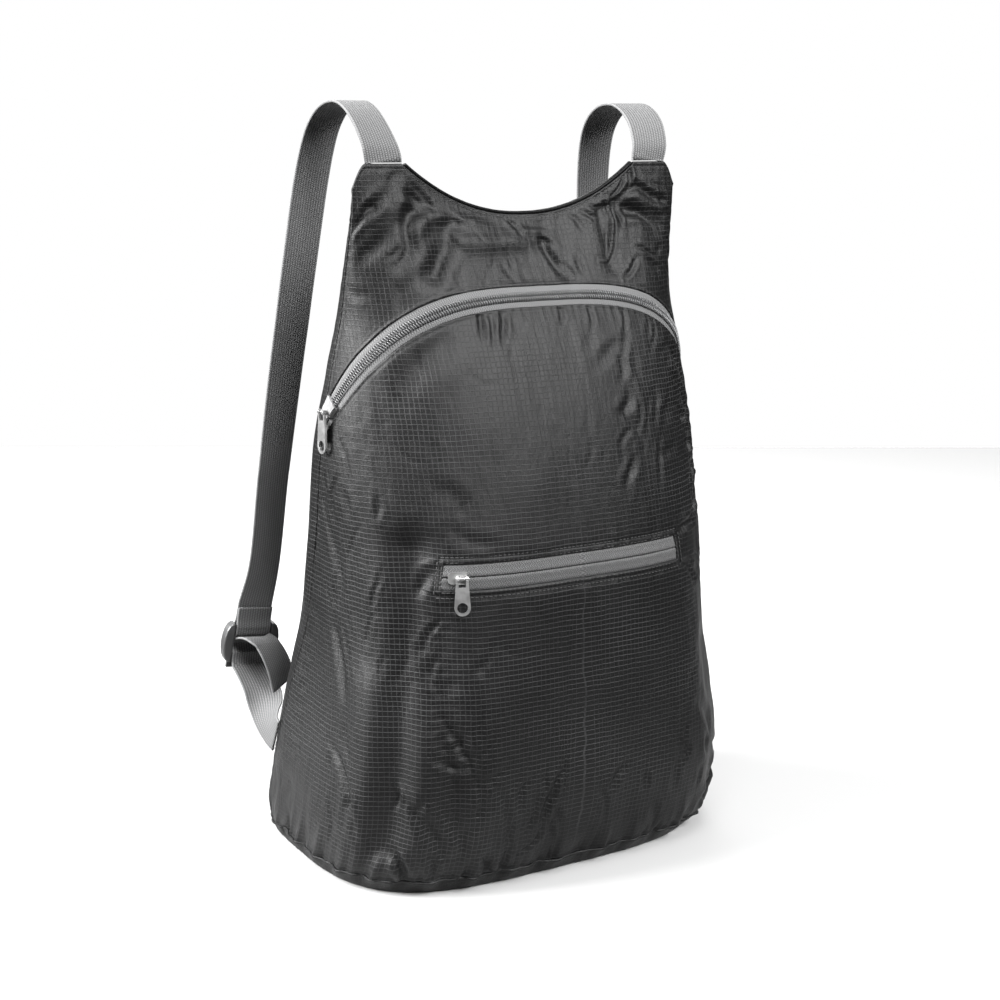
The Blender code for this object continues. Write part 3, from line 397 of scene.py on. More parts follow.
# Folds of the front, in families: places (along, height), then width, depth (- is a ridge) and how much
# cloth is pushed up beside it
frontFolds = {
    "leftPeakCrease": ((((-86.8, 381), (-95, 374.5), (-101, 372), (-106, 376)), 2.6, 1.7, 0.5),),
    "leftPeakFall": ((((-67, 388), (-70, 378), (-75.8, 366), (-75.5, 354), (-82, 345)), 3.4, 2.4, 0.55),),
    "leftPeakHollow": ((((-60, 392), (-68, 387), (-78, 385)), 6.0, 1.6, 0.2),),
    "neckSwell": ((((-62, 378), (-48, 384), (-36, 385), (-24, 387)), 4.2, -1.9, 0.2),),
    "leftSlant": ((((-50, 366), (-56, 357), (-63, 345), (-70, 336)), 3.6, 1.7, 0.5),),
    "leftSlantSmall": ((((-78, 340), (-84, 330), (-86, 318)), 3.2, 0.9, 0.4),),
    "starUpper": ((((62.7, 386), (75, 384), (88, 377), (100, 375)), 2.3, 1.6, 0.6),),
    "starMiddle": ((((61, 385), (70, 374), (80, 367), (86, 363)), 2.4, 1.7, 0.6),),
    "starLower": ((((60, 384), (60, 375), (58, 366)), 2.2, 1.4, 0.6),),
    "edgeNick": ((((94, 368), (101, 371), (107, 370)), 2.0, 1.8, 0.4),),
    "edgeCreaseUpper": ((((98, 352), (105, 346), (109, 338)), 3.0, 1.2, 0.4),),
    "lightLoop": ((((50, 392), (56, 388), (57.5, 379), (55, 366), (53, 357), (49,
                   352), (43, 354)), 1.3, -1.15, 0.9),),
    "neckRipple": (
        (((30, 391), (33, 386), (35, 378)), 1.5, 0.8, 0.6),
        (((38, 391), (41, 386), (45, 381)), 1.3, 0.9, 0.7),
        (((44, 392), (46, 389), (51, 386)), 1.2, 1.0, 0.7),
        (((66, 394), (63, 391), (58, 389)), 1.3, 1.0, 0.6),
        (((70, 396), (71, 391), (69, 387)), 1.3, 0.9, 0.6),
    ),
    "rightSlant": (
        (((9, 381), (11, 368), (15, 355), (17, 350)), 2.2, 1.5, 0.5),
        (((28, 361), (29, 354), (30, 347)), 1.8, 0.9, 0.5),
    ),
    "rightNick": ((((68, 346), (63, 341), (58, 339)), 1.6, 1.1, 0.5),),
    "neckSagSoft": ((((-6, 386), (6, 383), (14, 381)), 3.0, -0.9, 0.3),),
    "zipPucker": (
        (((-41, 327), (-42, 319), (-44, 309)), 1.9, 1.3, 0.6),
        (((-36, 326), (-36, 317), (-38, 304)), 1.6, 0.9, 0.5),
        (((-27, 328), (-29, 319), (-33, 307)), 1.9, 1.3, 0.6),
        (((9, 330), (9, 324), (7, 319)), 1.5, 0.9, 0.5),
        (((27.6, 328), (28, 321), (27, 315)), 1.5, 1.0, 0.5),
        (((52, 322), (51, 314), (48, 308)), 1.4, 0.8, 0.5),
        (((74, 308), (73, 301), (69, 296)), 1.6, 0.9, 0.4),
    ),
    "lowerHollow": ((((-82, 178), (-86, 140), (-84, 105), (-79, 75), (-82, 45), (-86, 22)), 11.0, 5.4, 0.2),),
    "shoulderHollow": ((((-92, 276), (-84, 290), (-72, 302), (-58, 311)), 6.5, 2.56, 0.25),),
    "rightEdge": (
        (((100, 268), (108, 256), (112, 240), (110, 226)), 3.2, 3.04, 0.5),
        (((112, 236), (104, 222), (99, 210)), 2.4, 2.4, 0.5),
        (((88, 296), (97, 286), (103, 274)), 3.4, 2.4, 0.4),
        (((108, 214), (100, 203), (88, 196)), 2.6, 1.92, 0.5),
        (((118, 200), (112, 188), (108, 172), (110, 158)), 3.4, 1.92, 0.4),
    ),
    "centreBand": (
        (((-76, 210), (-66, 203), (-50, 199)), 3.4, 0.58, 0.4),
        (((-82, 232), (-72, 225), (-66, 215)), 5.0, 0.64, 0.3),
    ),
    "pocketCorner": (
        (((-84, 188), (-92, 183), (-97, 174)), 2.6, 1.76, 0.5),
        (((72, 192), (84, 195), (96, 193)), 2.2, 1.76, 0.5),
        (((72, 176), (82, 171), (90, 162)), 2.4, 1.76, 0.5),
    ),
    "columnCrease": (
        (((-150, 214), (-153, 196), (-150, 176), (-154, 160)), 3.0, 1.44, 0.5),
        (((-160, 150), (-154, 132), (-150, 112)), 3.2, 1.6, 0.5),
        (((-164, 84), (-152, 74), (-145, 58), (-146, 40)), 2.8, 1.92, 0.5),
        (((-150, 70), (-141, 50), (-135, 34)), 2.0, 1.12, 0.5),
    ),
    "hollowEdge": (
        (((-86, 108), (-78, 98), (-70, 84), (-66, 66)), 3.0, 1.92, 0.4),
        (((-90, 86), (-80, 80), (-70, 78)), 2.0, 1.28, 0.6),
        (((-104, 60), (-96, 50), (-88, 38), (-84, 22)), 3.4, 2.24, 0.5),
    ),
    "hollowBack": ((((-76, 50), (-72, 36), (-74, 20)), 3.0, 1.92, 0.5),),
    "seamTuck": (
        (((-112, 30), (-106, 22), (-100, 12)), 2.2, 2.72, 0.6),
        (((-92, 30), (-88, 22), (-84, 11)), 2.2, 2.24, 0.6),
        (((-60, 26), (-56, 18), (-54, 11)), 2.0, 2.56, 0.7),
        (((-44, 27), (-46, 18), (-44, 11)), 1.9, 2.24, 0.7),
        (((-18, 22), (-16, 16), (-16, 11)), 1.6, 1.1, 0.6),
        (((52, 34), (56, 22), (57, 12)), 2.6, 1.2, 0.5),
    ),
    "bulgeFold": (
        (((98, 20), (112, 27), (126, 34), (136, 44)), 3.2, 2.88, 0.5),
        (((104, 12), (120, 18), (134, 24)), 2.6, 2.24, 0.5),
        (((88, 90), (102, 74), (110, 56)), 4.0, 1.6, 0.4),
    ),
}
allFolds = sum(frontFolds.values(), ())


def foldLift(along, height, folds):
    # a fold is a bell-shaped valley exp(-d^2) along a smooth curve, d being the distance in widths, with a
    # shoulder exp(-((d - 2) / 0.95)^2) of pushed-up cloth on both sides; a sine fades it towards its ends
    lift = np.zeros_like(along)
    for places, width, depth, shoulder in folds:
        curve = curveThrough(places, 28)
        low, high = curve.min(axis=0) - 4.5 * width, curve.max(axis=0) + 4.5 * width
        near = (along > low[0]) & (along < high[0]) & (height > low[1]) & (height < high[1])
        if not near.any():
            continue
        a, h = along[near][:, None], height[near][:, None]
        away2 = (a - curve[:, 0]) ** 2 + (h - curve[:, 1]) ** 2
        nearest = away2.argmin(axis=1)
        away = np.sqrt(away2[np.arange(len(nearest)), nearest]) / width
        fade = np.sin(math.pi * (0.04 + 0.92 * nearest / 27)) ** 0.7
        raised = shoulder * 0.75 * np.exp(-((away - 2.0) / 0.95) ** 2)
        lift[near] += depth * fade * (raised - np.exp(-away ** 2))
    return lift


def scatteredFolds(seed, count, region, length, width, depth, slant, spread):
    # many short folds with random places in a region, directions near the slant, and seeded sizes
    rng = np.random.default_rng(seed)
    folds = []
    for _ in range(count):
        start = np.array((rng.uniform(*region[0]), rng.uniform(*region[1])))
        turn = math.radians(slant + rng.normal(0, spread))
        run = rng.uniform(*length) * np.array((math.cos(turn), math.sin(turn)))
        bend = rng.normal(0, 0.12) * np.array((-run[1], run[0]))
        places = (start, start + run / 2 + bend, start + run)
        folds.append((places, rng.uniform(*width), rng.uniform(*depth), 0.55))
    return folds


def puckerLift(place, away, pitch, reach, depth, seed):
    # small folds square to a seam: a wave along it, uneven in pitch and strength, that fades with distance
    wander = latticeNoise(place / (2.7 * pitch), away / (4 * reach), seed)
    wave = np.sin(2 * math.pi * (place / pitch + 0.55 * wander))
    strength = 0.35 + 0.65 * np.clip(latticeNoise(place / (1.9 * pitch), 0 * place, seed + 1) + 0.55, 0, 1.4)
    length = reach * (0.7 + 0.6 * (latticeNoise(place / (1.3 * pitch), 0 * place, seed + 2) + 1) / 2)
    wave = 0.5 * (wave - 0.6) * (1 + 0.4 * wave)
    return depth * wave * strength * np.exp(-(np.maximum(away, 0) / length) ** 1.3)


def crumpleLift(along, height, seed, strength=1.0):
    # soft swells of the filled cloth, uneven creases where the noise changes sign, and fine vertical pulls
    swell = 0.75 * layeredNoise(along / 46, height / 60, seed, 2)
    warp = 9 * latticeNoise(along / 30, height / 30, seed + 9)
    ridged = 1 - np.abs(layeredNoise((along + warp) / 21, (height - warp) / 30, seed + 20, 3))
    where = smoothStep(-0.3, 0.7, latticeNoise(along / 38, height / 50, seed + 31))
    crease = -0.95 * np.clip(ridged - 0.62, 0, 1) ** 1.2 * (0.25 + 0.75 * where)
    pulls = 0.16 * layeredNoise(along / 5.5, height / 34, seed + 40, 2)
    return strength * (swell + crease + pulls)


def edgeRoll(away, turn=1.0):
    # hem: the last 0.75 mm turns inwards as a power curve; bell curves make the groove of the stitches, 2.7 mm
    # from the edge, and the low ridge beside it
    bend = -turn * np.clip(1 - away / 0.75, 0, 1) ** 1.7
    return bend - 0.20 * np.exp(-((away - 2.7) / 0.8) ** 2) + 0.10 * np.exp(-((away - 1.5) / 0.7) ** 2)


hemSteps = np.array((0, 0.12, 0.3, 0.55, 0.9, 1.4, 2.0, 2.7, 3.5))    # rows of a hem, from its edge


def mathNode(operation, swapped=False):
    # makes a method that puts a Math node after its own socket
    def method(self, *others):
        values = others + (self,) if swapped else (self,) + others
        return self.sheet.node("ShaderNodeMath", {"operation": operation}, dict(enumerate(values)))
    return method


class Value:
    # one socket of a shader, with Python's operators as Math nodes
    def __init__(self, sheet, socket):
        self.sheet, self.socket = sheet, socket

    __add__ = __radd__ = mathNode("ADD")
    __mul__ = __rmul__ = mathNode("MULTIPLY")
    __sub__ = mathNode("SUBTRACT")
    __rsub__ = mathNode("SUBTRACT", swapped=True)
    __truediv__ = mathNode("DIVIDE")
    __pow__ = mathNode("POWER")
    sin = mathNode("SINE")
    floor = mathNode("FLOOR")
    abs = mathNode("ABSOLUTE")
    larger = mathNode("MAXIMUM")
    pingPong = mathNode("PINGPONG")

    def toLine(self, pitch):
        # distance to the nearest whole multiple of the pitch
        return self.pingPong(pitch / 2)

    def step(self, low, high):
        # smooth 0 to 1 between low and high, or 1 to 0 where low is the larger
        return self.sheet.node("ShaderNodeMapRange", {"interpolation_type": "SMOOTHSTEP"},
                               {"Value": self, "From Min": low, "From Max": high})


class ShaderSheet:
    # node tree of a new material, or of the world; node() takes a type, its settings, and the values or
    # links of its sockets
    def __init__(self, name, world=None):
        self.material = world or bpy.data.materials.new(name)
        self.material.use_nodes = True
        self.tree = self.material.node_tree
        self.shader = self.tree.nodes.get("Principled BSDF")

    def node(self, kind, settings, inputs):
        made = self.tree.nodes.new(kind)
        for key, value in settings.items():
            setattr(made, key, value)
        self.fill(made, inputs)
        return Value(self, made.outputs[0])

    def fill(self, node, inputs):
        for key, value in inputs.items():
            if isinstance(value, Value):
                self.tree.links.new(value.socket, node.inputs[key])
            else:
                node.inputs[key].default_value = value

    def parts(self, vector):
        # the separate numbers of a vector
        split = self.tree.nodes.new("ShaderNodeSeparateXYZ")
        self.tree.links.new(vector.socket, split.inputs[0])
        return [Value(self, split.outputs[axis]) for axis in "XYZ"]

    def coordinates(self, kind):
        return Value(self, self.tree.nodes.new("ShaderNodeTexCoord").outputs[kind])

    def place(self):
        # place on the cut cloth, in millimetres
        uv = self.node("ShaderNodeUVMap", {"uv_map": "cut"}, {})
        return (uv, *self.parts(uv)[:2])

    def noise(self, vector, scale, detail=2.0, roughness=0.5):
        inputs = {"Vector": vector, "Scale": scale, "Detail": detail, "Roughness": roughness}
        return self.node("ShaderNodeTexNoise", {}, inputs)

    def stretch(self, vector, scale):
        return self.node("ShaderNodeVectorMath", {"operation": "MULTIPLY"}, {0: vector, 1: scale})

    def mix(self, share, first, second):
        made = self.tree.nodes.new("ShaderNodeMix")
        made.data_type = "RGBA"
        made.clamp_factor = True
        self.fill(made, {0: share, 6: first, 7: second})
        return Value(self, made.outputs[2])

    def finish(self, colour, roughness, height=None, distance=0.0, strength=1.0, **fixed):
        inputs = {"Base Color": colour, "Roughness": roughness}
        if height is not None:
            bump = {"Height": height, "Distance": distance * mm, "Strength": strength}
            inputs["Normal"] = self.node("ShaderNodeBump", {}, bump)
        self.fill(self.shader, inputs)
        self.fill(self.shader, {key.replace("_", " "): value for key, value in fixed.items()})
        return self.material


def grey(value, tint=0.0):
    # a grey, made a little bluer by the tint
    return (value * (1 - 0.4 * tint), value, value * (1 + tint), 1.0)


ripstop = {
    "gridPitch": 2.8,
    "gridHalf": 0.26,
    "weavePitch": 0.42,
    "cloth": 0.0008,
    "clothWorn": 0.002,
    "gridThreadSheen": 0.032,
    "roughness": 0.40,
}


def makeRipstop(name, tone=1.0, gloss=0.16):
    # two-way grid of thicker threads on a fine plain weave, sin(along) sin(up), with small creases of noise; the
    # grid's threads are coloured lighter as a painted sheen
    sheet = ShaderSheet(name)
    uv, along, up = sheet.place()
    wander = sheet.noise(uv, 0.05, 2.0) - 0.5
    lineUp, lineAcross = [(place + wander * 1.6).toLine(ripstop["gridPitch"]).step(ripstop["gridHalf"], 0.06)
                          for place in (along, up)]
    turn = 2 * math.pi / ripstop["weavePitch"]
    weave = (along * turn).sin() * (up * turn).sin()
    speckle = sheet.noise(sheet.stretch(uv, (2.6, 0.7, 1.0)), 1.0, 2.0)
    dashes = sheet.noise(sheet.stretch(uv, (0.9, 0.12, 1.0)), 1.0, 2.0)
    cloudy = sheet.noise(uv, 0.018, 3.0)
    fade = sheet.noise(sheet.stretch(uv, (0.012, 0.02, 1.0)), 1.0, 2.0).step(0.36, 0.64)
    grid = (lineAcross * 0.85).larger(lineUp * (0.25 + 0.45 * dashes)) * (0.35 + 0.65 * fade)
    grid = grid * (0.55 + 0.9 * (speckle - 0.2))
    new, worn, thread = [ripstop[key] * tone for key in ("cloth", "clothWorn", "gridThreadSheen")]
    ground = sheet.mix(cloudy.step(0.35, 0.7), grey(new, 0.03), grey(worn, 0.03))
    ground = sheet.mix((speckle - 0.35) * 0.8, ground, grey(worn * 1.7, 0.02))
    # the grid of thicker threads is real; its lighter colour is painted sheen
    colour = sheet.mix(grid * 0.9, ground, grey(thread, 0.02))
    crease = sheet.noise(sheet.stretch(uv, (0.30, 0.11, 1.0)), 1.0, 4.0, 0.6)
    height = lineAcross.larger(lineUp) * 0.55 + weave * 0.10 + speckle * 0.12 + crease * 2.4
    roughness = ripstop["roughness"] + 0.10 * speckle + grid * 0.12 + cloudy * 0.05
    return sheet.finish(colour, roughness, height, 0.20, 0.8, Specular_IOR_Level=gloss)


webbingWeave = {
    "width": 22.0,
    "columns": 14,
    "stitch": 1.05,
    "base": 0.066,
    # the next two tones are a painted highlight for the stitches' tops and the edges, and a painted shade for the
    # gaps
    "light": 0.125,
    "paintedShade": 0.024,
}


def makeWebbing(name):
    # warp columns |sin(across)| with raised stitches |sin(along)|, painted shade in the gaps between them, and a
    # painted highlight on the stitches' tops and along both edges
    sheet = ShaderSheet(name)
    uv, across, along = sheet.place()
    base, light, paintedShade = webbingWeave["base"], webbingWeave["light"], webbingWeave["paintedShade"]
    column, half = webbingWeave["width"] / webbingWeave["columns"], webbingWeave["width"] / 2
    ridge = (across * (math.pi / column)).sin().abs()
    shift = (across / column).floor() * 0.5
    stitch = ((along / webbingWeave["stitch"] + shift) * math.pi).sin().abs()
    loops = (ridge ** 0.6) * (0.25 + 0.75 * stitch ** 0.7)
    fuzz = sheet.noise(uv, 1.3, 2.0)
    patchy = sheet.noise(uv, 0.06, 2.0)
    edge = (across - half).abs().step(half - 1.1, half - 0.4)
    # painted shade: the gaps between the warp columns are coloured darker than the loops
    colour = sheet.mix(loops.step(0.10, 0.62), grey(paintedShade, 0.01), grey(base, 0.01))
    # painted highlight: the tops of the stitches are coloured lighter
    colour = sheet.mix(loops.step(0.62, 1.0) * (0.35 + 0.65 * fuzz), colour, grey(light, 0.01))
    colour = sheet.mix((patchy - 0.4) * 0.5, colour, grey(base * 0.7, 0.01))
    # painted highlight along both rounded edges of the band
    colour = sheet.mix(edge * 0.5, colour, grey(light, 0.01))
    height = loops * 0.9 + fuzz * 0.1
    return sheet.finish(colour, 0.66 + 0.2 * fuzz, height, 0.22, 0.8, Specular_IOR_Level=0.25)


def makeTape(name, base, paintedShade, speckled=0.0, coilShade=False):
    # herringbone: ribs sin(along + distance to the row) that turn back at every row, with painted shade in their
    # troughs; painted shade on the tape under the coils
    sheet = ShaderSheet(name)
    uv, along, across = sheet.place()
    row = across.toLine(2.2)
    rib = ((along + row * 1.1) * (2 * math.pi / 1.45)).sin() * 0.5 + 0.5
    fuzz = sheet.noise(uv, 1.6, 3.0)
    dots = sheet.noise(sheet.stretch(uv, (1.3, 1.9, 1.0)), 1.0, 1.0)
    # painted shade: the ribs' troughs are coloured darker than their crests
    colour = sheet.mix(rib * (0.7 + 0.5 * fuzz), grey(paintedShade, 0.01), grey(base, 0.01))
    colour = sheet.mix(dots.step(0.50, 0.64) * speckled, colour, grey(paintedShade * 0.6, 0.01))
    # painted shade where the coils lie over the tape
    if coilShade:
        colour = sheet.mix(across.abs().step(3.15, 2.7), colour, grey(0.012, 0.01))
    return sheet.finish(colour, 0.6 + 0.2 * fuzz, rib + fuzz * 0.4, 0.16, 0.8, Specular_IOR_Level=0.3)


def makePlastic(name, base, roughness):
    # moulded plastic, faintly cloudy and grained
    sheet = ShaderSheet(name)
    place = sheet.coordinates("Object")
    fine = sheet.noise(place, 900.0, 3.0)
    wide = sheet.noise(place, 90.0, 2.0)
    colour = sheet.mix(wide.step(0.3, 0.7), grey(base * 0.85, 0.02), grey(base * 1.15, 0.02))
    return sheet.finish(colour, roughness + 0.12 * (fine - 0.5) + 0.08 * wide, fine, 0.05, 0.5)


def makeMetal(name):
    # nickel plate, a little uneven from the casting
    sheet = ShaderSheet(name)
    place = sheet.coordinates("Object")
    fine = sheet.noise(place, 700.0, 3.0)
    wide = sheet.noise(place, 160.0, 2.0)
    colour = sheet.mix(wide.step(0.35, 0.7), grey(0.34), grey(0.52))
    return sheet.finish(colour, 0.26 + 0.14 * fine, wide * 0.6 + fine * 0.3, 0.05, 0.35, Metallic=0.9)


def makeThread(name, base):
    # spun thread: fine noise in colour, sheen and height
    sheet = ShaderSheet(name)
    place = sheet.coordinates("Object")
    twist = sheet.noise(place, 2400.0, 2.0)
    colour = sheet.mix(twist, grey(base * 0.7), grey(base * 1.3))
    return sheet.finish(colour, 0.6 + 0.2 * twist, twist, 0.05, 0.6)


clothFinish = makeRipstop("ripstop_black")
bindingFinish = makeRipstop("binding_black", 0.5, 0.05)
baseFinish = makeRipstop("ripstop_base", 0.6)
webbingFinish = makeWebbing("webbing_grey")
tapeFinish = makeTape("zip_tape_light", 0.095, 0.028, coilShade=True)
pocketTapeFinish = makeTape("zip_tape_speckled", 0.072, 0.022, speckled=0.8)
coilFinish = makePlastic("coil_grey", 0.05, 0.34)
buckleFinish = makePlastic("buckle_grey", 0.024, 0.40)
metalFinish = makeMetal("slider_nickel")
blackThread = makeThread("thread_black", 0.012)
print("finishes made")


def layCloth(u, height, lift, back=False):
    # skin moved outwards along its normal by the lift
    normal = skinNormal(u, height, back)
    return bagSkin(u, height, 0.0, back) + normal * lift[..., None]


def clothUv(u, height, back=False):
    # distance round the bag from the middle, and z of the plain skin
    return uvOf((u - 0.5) * ringLength(height, back), bagSkin(u, height, 0.0, back)[..., 2])


def columnsOfU(pitch, marks=()):
    # columns across a panel, with a hem's finer steps beside both side seams and beside each mark
    width = bagForm["frontWidth"]
    hem = hemSteps / width
    hems = [hem, 1 - hem] + [mark + side * hem for mark in marks for side in (-1, 1)]
    stops = [0.0] + sorted(marks) + [1.0]
    plain = [np.linspace(left, right, max(2, round((right - left) * width / pitch)))
             for left, right in zip(stops[:-1], stops[1:])]
    values = np.unique(np.round(np.concatenate(hems + plain), 7))
    fixed = set(np.round(np.concatenate(hems), 7))
    kept = [values[0]]
    for value in values[1:]:
        if value - kept[-1] > bagForm["columnGap"] or value in fixed:
            kept.append(value)
    return np.array(kept)


def hemmedRows(low, top, pitch):
    # heights from a low hem to a top hem, with even rows between the two
    return np.concatenate([low + hemSteps, np.arange(low + 4.6, top - 4.2, pitch), top - hemSteps[::-1]])


def clothGrid(u, rows, back=False):
    # rows are heights, one for all columns or one for each; gives the grids of u and height, the length of
    # each ring, the distance round from the middle, and the distance to the nearer side seam
    height = np.array([np.full_like(u, row) for row in rows])
    uGrid = np.broadcast_to(u, height.shape)
    total = ringLength(height, back)
    return uGrid, height, total, (uGrid - 0.5) * total, np.minimum(uGrid, 1 - uGrid) * total


def aboveLine(u, line, height):
    # distance above a slanting line, square to it: (height - line) / sqrt(1 + slope^2)
    slope = np.abs(np.gradient(line, (u - 0.5) * ringLength(line)))
    return (height - line) / np.sqrt(1 + slope ** 2)


def scatterLift(along, height, table, calm):
    # scattered folds of every row of a table, faded by calm
    return sum(foldLift(along, height, scatteredFolds(*row)) * calm for row in table)


def hemLift(lift, hems, turn=1.0):
    # folds fade out beside the hems, and the hems roll in
    return lift * smoothStep(0, 1.4, hems) + edgeRoll(hems, turn)


# scattered: seed, count, region along and in height, then the ranges of length, width and depth, and the
# direction and its spread in degrees; the puckers and gathers: pitch, reach, depth and seed
frontCloth = {
    "pitch": 1.35,
    "scattered": (
        (11, 26, ((96, 128), (150, 300)), (8, 26), (1.2, 2.6), (0.5, 1.6), 120, 28),
        (12, 30, ((-166, -112), (24, 230)), (10, 34), (1.0, 2.4), (0.35, 1.1), 88, 14),
        (13, 30, ((-112, 132), (20, 60)), (10, 26), (1.2, 2.6), (0.6, 1.8), 92, 16),
        (14, 24, ((-100, -62), (24, 150)), (8, 24), (1.6, 3.4), (0.3, 0.9), 70, 30),
        (15, 26, ((20, 100), (196, 312)), (12, 34), (1.6, 3.6), (0.3, 0.8), 62, 30),
    ),
    "baseGather": (6.4, 9.0, 1.5, 51),
    "baseSwell": (15.0, 22.0, 1.1, 55),
    "zipPucker": (5.2, 6.0, 0.55, 61),
    "pocketPucker": (4.4, 7.5, 0.55, 71),
    "pocketSwell": (9.5, 15.0, 0.5, 75),
    "pocketEndPucker": (4.2, 5.0, 0.4, 77),
    "sidePucker": (9.0, 6.0, 0.35, 81),
}


def layFrontPanel():
    lowEdge, highEdge = pocketZip["low"], pocketZip["high"]
    left, right = pocketEnds()
    pitch = frontCloth["pitch"]
    u = columnsOfU(pitch, (left, right))
    top = archHeights(u, -mainZip["lowerEdge"])
    low = bagForm["seamHeight"] + bagForm["seamClear"]
    inWindow = (lowEdge + 1.5, pocketZip["middle"], highEdge - 1.5)
    start = highEdge + hemSteps[-1]
    hemLines = [archHeights(u, -mainZip["lowerEdge"] - step) for step in hemSteps[::-1]]
    shares = np.linspace(0, 1, round((float(top.max()) - start) / pitch) + 1)[1:-1]
    between = [start + (hemLines[0] - start) * share for share in shares]
    rows = [*hemmedRows(low, lowEdge, pitch), *inWindow, *(highEdge + hemSteps), *between, *hemLines]
    uGrid, height, total, along, sideAway = clothGrid(u, rows)

    zipAway = -aboveLine(u, top, height)
    seamAway = height - low
    windowX = np.maximum(left - uGrid, uGrid - right) * total
    windowY = np.maximum(lowEdge - height, height - highEdge)
    corner = (windowX > 0) & (windowY > 0)
    windowAway = np.where(corner, np.hypot(windowX, windowY), np.maximum(windowX, windowY))

    calm = smoothStep(0, 7, windowAway) * smoothStep(0, 5, zipAway) * smoothStep(0, 12, sideAway)
    lift = crumpleLift(along, height, 3) * calm * smoothStep(0, 9, seamAway)
    lift += foldLift(along, height, allFolds) * smoothStep(0, 10, sideAway)
    lift += scatterLift(along, height, frontCloth["scattered"], calm)
    lift += puckerLift(along, seamAway, *frontCloth["baseGather"])
    lift += puckerLift(along + 3, seamAway, *frontCloth["baseSwell"])
    lift += puckerLift(along, zipAway, *frontCloth["zipPucker"]) * smoothStep(-120, -50, along)
    besideWindow = (0.35 + 0.65 * smoothStep(-40, 30, along)) * (windowX < 2)
    lift += puckerLift(along, windowY, *frontCloth["pocketPucker"]) * besideWindow
    lift += puckerLift(along + 2, windowY, *frontCloth["pocketSwell"]) * besideWindow
    lift += puckerLift(height, windowX, *frontCloth["pocketEndPucker"]) * (windowY < 1)
    lift += puckerLift(height, sideAway, *frontCloth["sidePucker"])
    lift = hemLift(lift, np.minimum(np.minimum(windowAway, zipAway), np.minimum(sideAway, seamAway)))
    # low welt round the window: a bell-shaped ridge and a groove beyond it
    welt = 0.32 * np.exp(-((windowAway - 2.1) / 1.3) ** 2) - 0.35 * np.exp(-((windowAway - 4.0) / 0.6) ** 2)
    lift += welt * (windowAway > 0.5)

    points = layCloth(uGrid, height, lift)
    openRow = (height[:-1, 0] >= lowEdge - 1e-6) & (height[1:, 0] <= highEdge + 1e-6)
    openColumn = (u[:-1] >= left - 1e-6) & (u[1:] <= right + 1e-6)
    faces = gridFaces(*height.shape, keep=~(openRow[:, None] & openColumn[None, :]))
    used = np.unique(faces)
    renumber = np.zeros(height.size, int)
    renumber[used] = np.arange(len(used))
    return makeMesh("front_panel_cloth", points.reshape(-1, 3)[used], renumber[faces], clothFinish,
                    clothUv(uGrid, height)[used], stands=("front_panel",))


yokeCloth = {
    "pitch": 1.45,
    "scattered": (
        (31, 14, ((72, 108), (330, 392)), (8, 22), (1.0, 2.2), (0.3, 0.9), 130, 30),
        (32, 14, ((-108, -60), (300, 388)), (8, 26), (1.2, 2.6), (0.25, 0.7), 50, 30),
        (33, 12, ((-20, 60), (336, 388)), (10, 26), (1.2, 2.4), (0.2, 0.6), 108, 22),
    ),
    "zipPucker": (6.0, 6.0, 0.35, 91),
    "neckPucker": (5.5, 7.0, 0.45, 95),
    "sidePucker": (8.0, 5.0, 0.3, 97),
}


def layFrontYoke():
    u = columnsOfU(frontCloth["pitch"])
    top = bagForm["topHeight"]
    hemLines = [archHeights(u, mainZip["tapeHalf"] + step) for step in hemSteps]
    shares = np.linspace(0, 1, round((top - 4.6 - float(hemLines[-1].min())) / yokeCloth["pitch"]) + 1)[1:]
    between = [hemLines[-1] + (top - 3.8 - hemLines[-1]) * share for share in shares]
    uGrid, height, total, along, sideAway = clothGrid(u, [*hemLines, *between, *(top - hemSteps[::-1])])
    zipAway = aboveLine(u, hemLines[0], height)
    topAway = top - height
    calm = smoothStep(0, 6, zipAway) * smoothStep(0, 8, topAway) * smoothStep(0, 9, sideAway)
    lift = crumpleLift(along, height, 23, 1.15) * calm
    lift += foldLift(along, height, allFolds) * smoothStep(0, 6, sideAway) * smoothStep(0, 3, topAway)
    lift += scatterLift(along, height, yokeCloth["scattered"], calm)
    lift += puckerLift(along, zipAway, *yokeCloth["zipPucker"]) * smoothStep(-110, 10, along)
    lift += puckerLift(along, topAway, *yokeCloth["neckPucker"]) * smoothStep(12, 45, along)
    lift += puckerLift(height, sideAway, *yokeCloth["sidePucker"])
    lift = hemLift(lift, np.minimum(np.minimum(topAway, zipAway), sideAway), 0.9)
    return makeMesh("front_yoke_cloth", layCloth(uGrid, height, lift).reshape(-1, 3), gridFaces(*height.shape),
                    clothFinish, clothUv(uGrid, height), stands=("front_yoke",))


backCloth = {
    "columnPitch": 1.6,
    "rowPitch": 1.7,
    "scattered": tuple((seed, count, region, (12, 40), (1.6, 3.6), (0.3, 1.0), slant, 22)
                       for seed, count, region, slant in (
                           (131, 34, ((-100, 100), (30, 360)), 80), (132, 16, ((-100, -60), (290, 392)), 55),
                           (133, 16, ((60, 100), (290, 392)), 125), (134, 22, ((-110, 110), (18, 60)), 90))),
    "baseGather": (7.4, 10.0, 1.3, 141),
    "baseSwell": (17.0, 24.0, 1.0, 145),
    "neckPucker": (7.0, 8.0, 0.35, 147),
    "sidePucker": (9.0, 7.0, 0.4, 149),
}


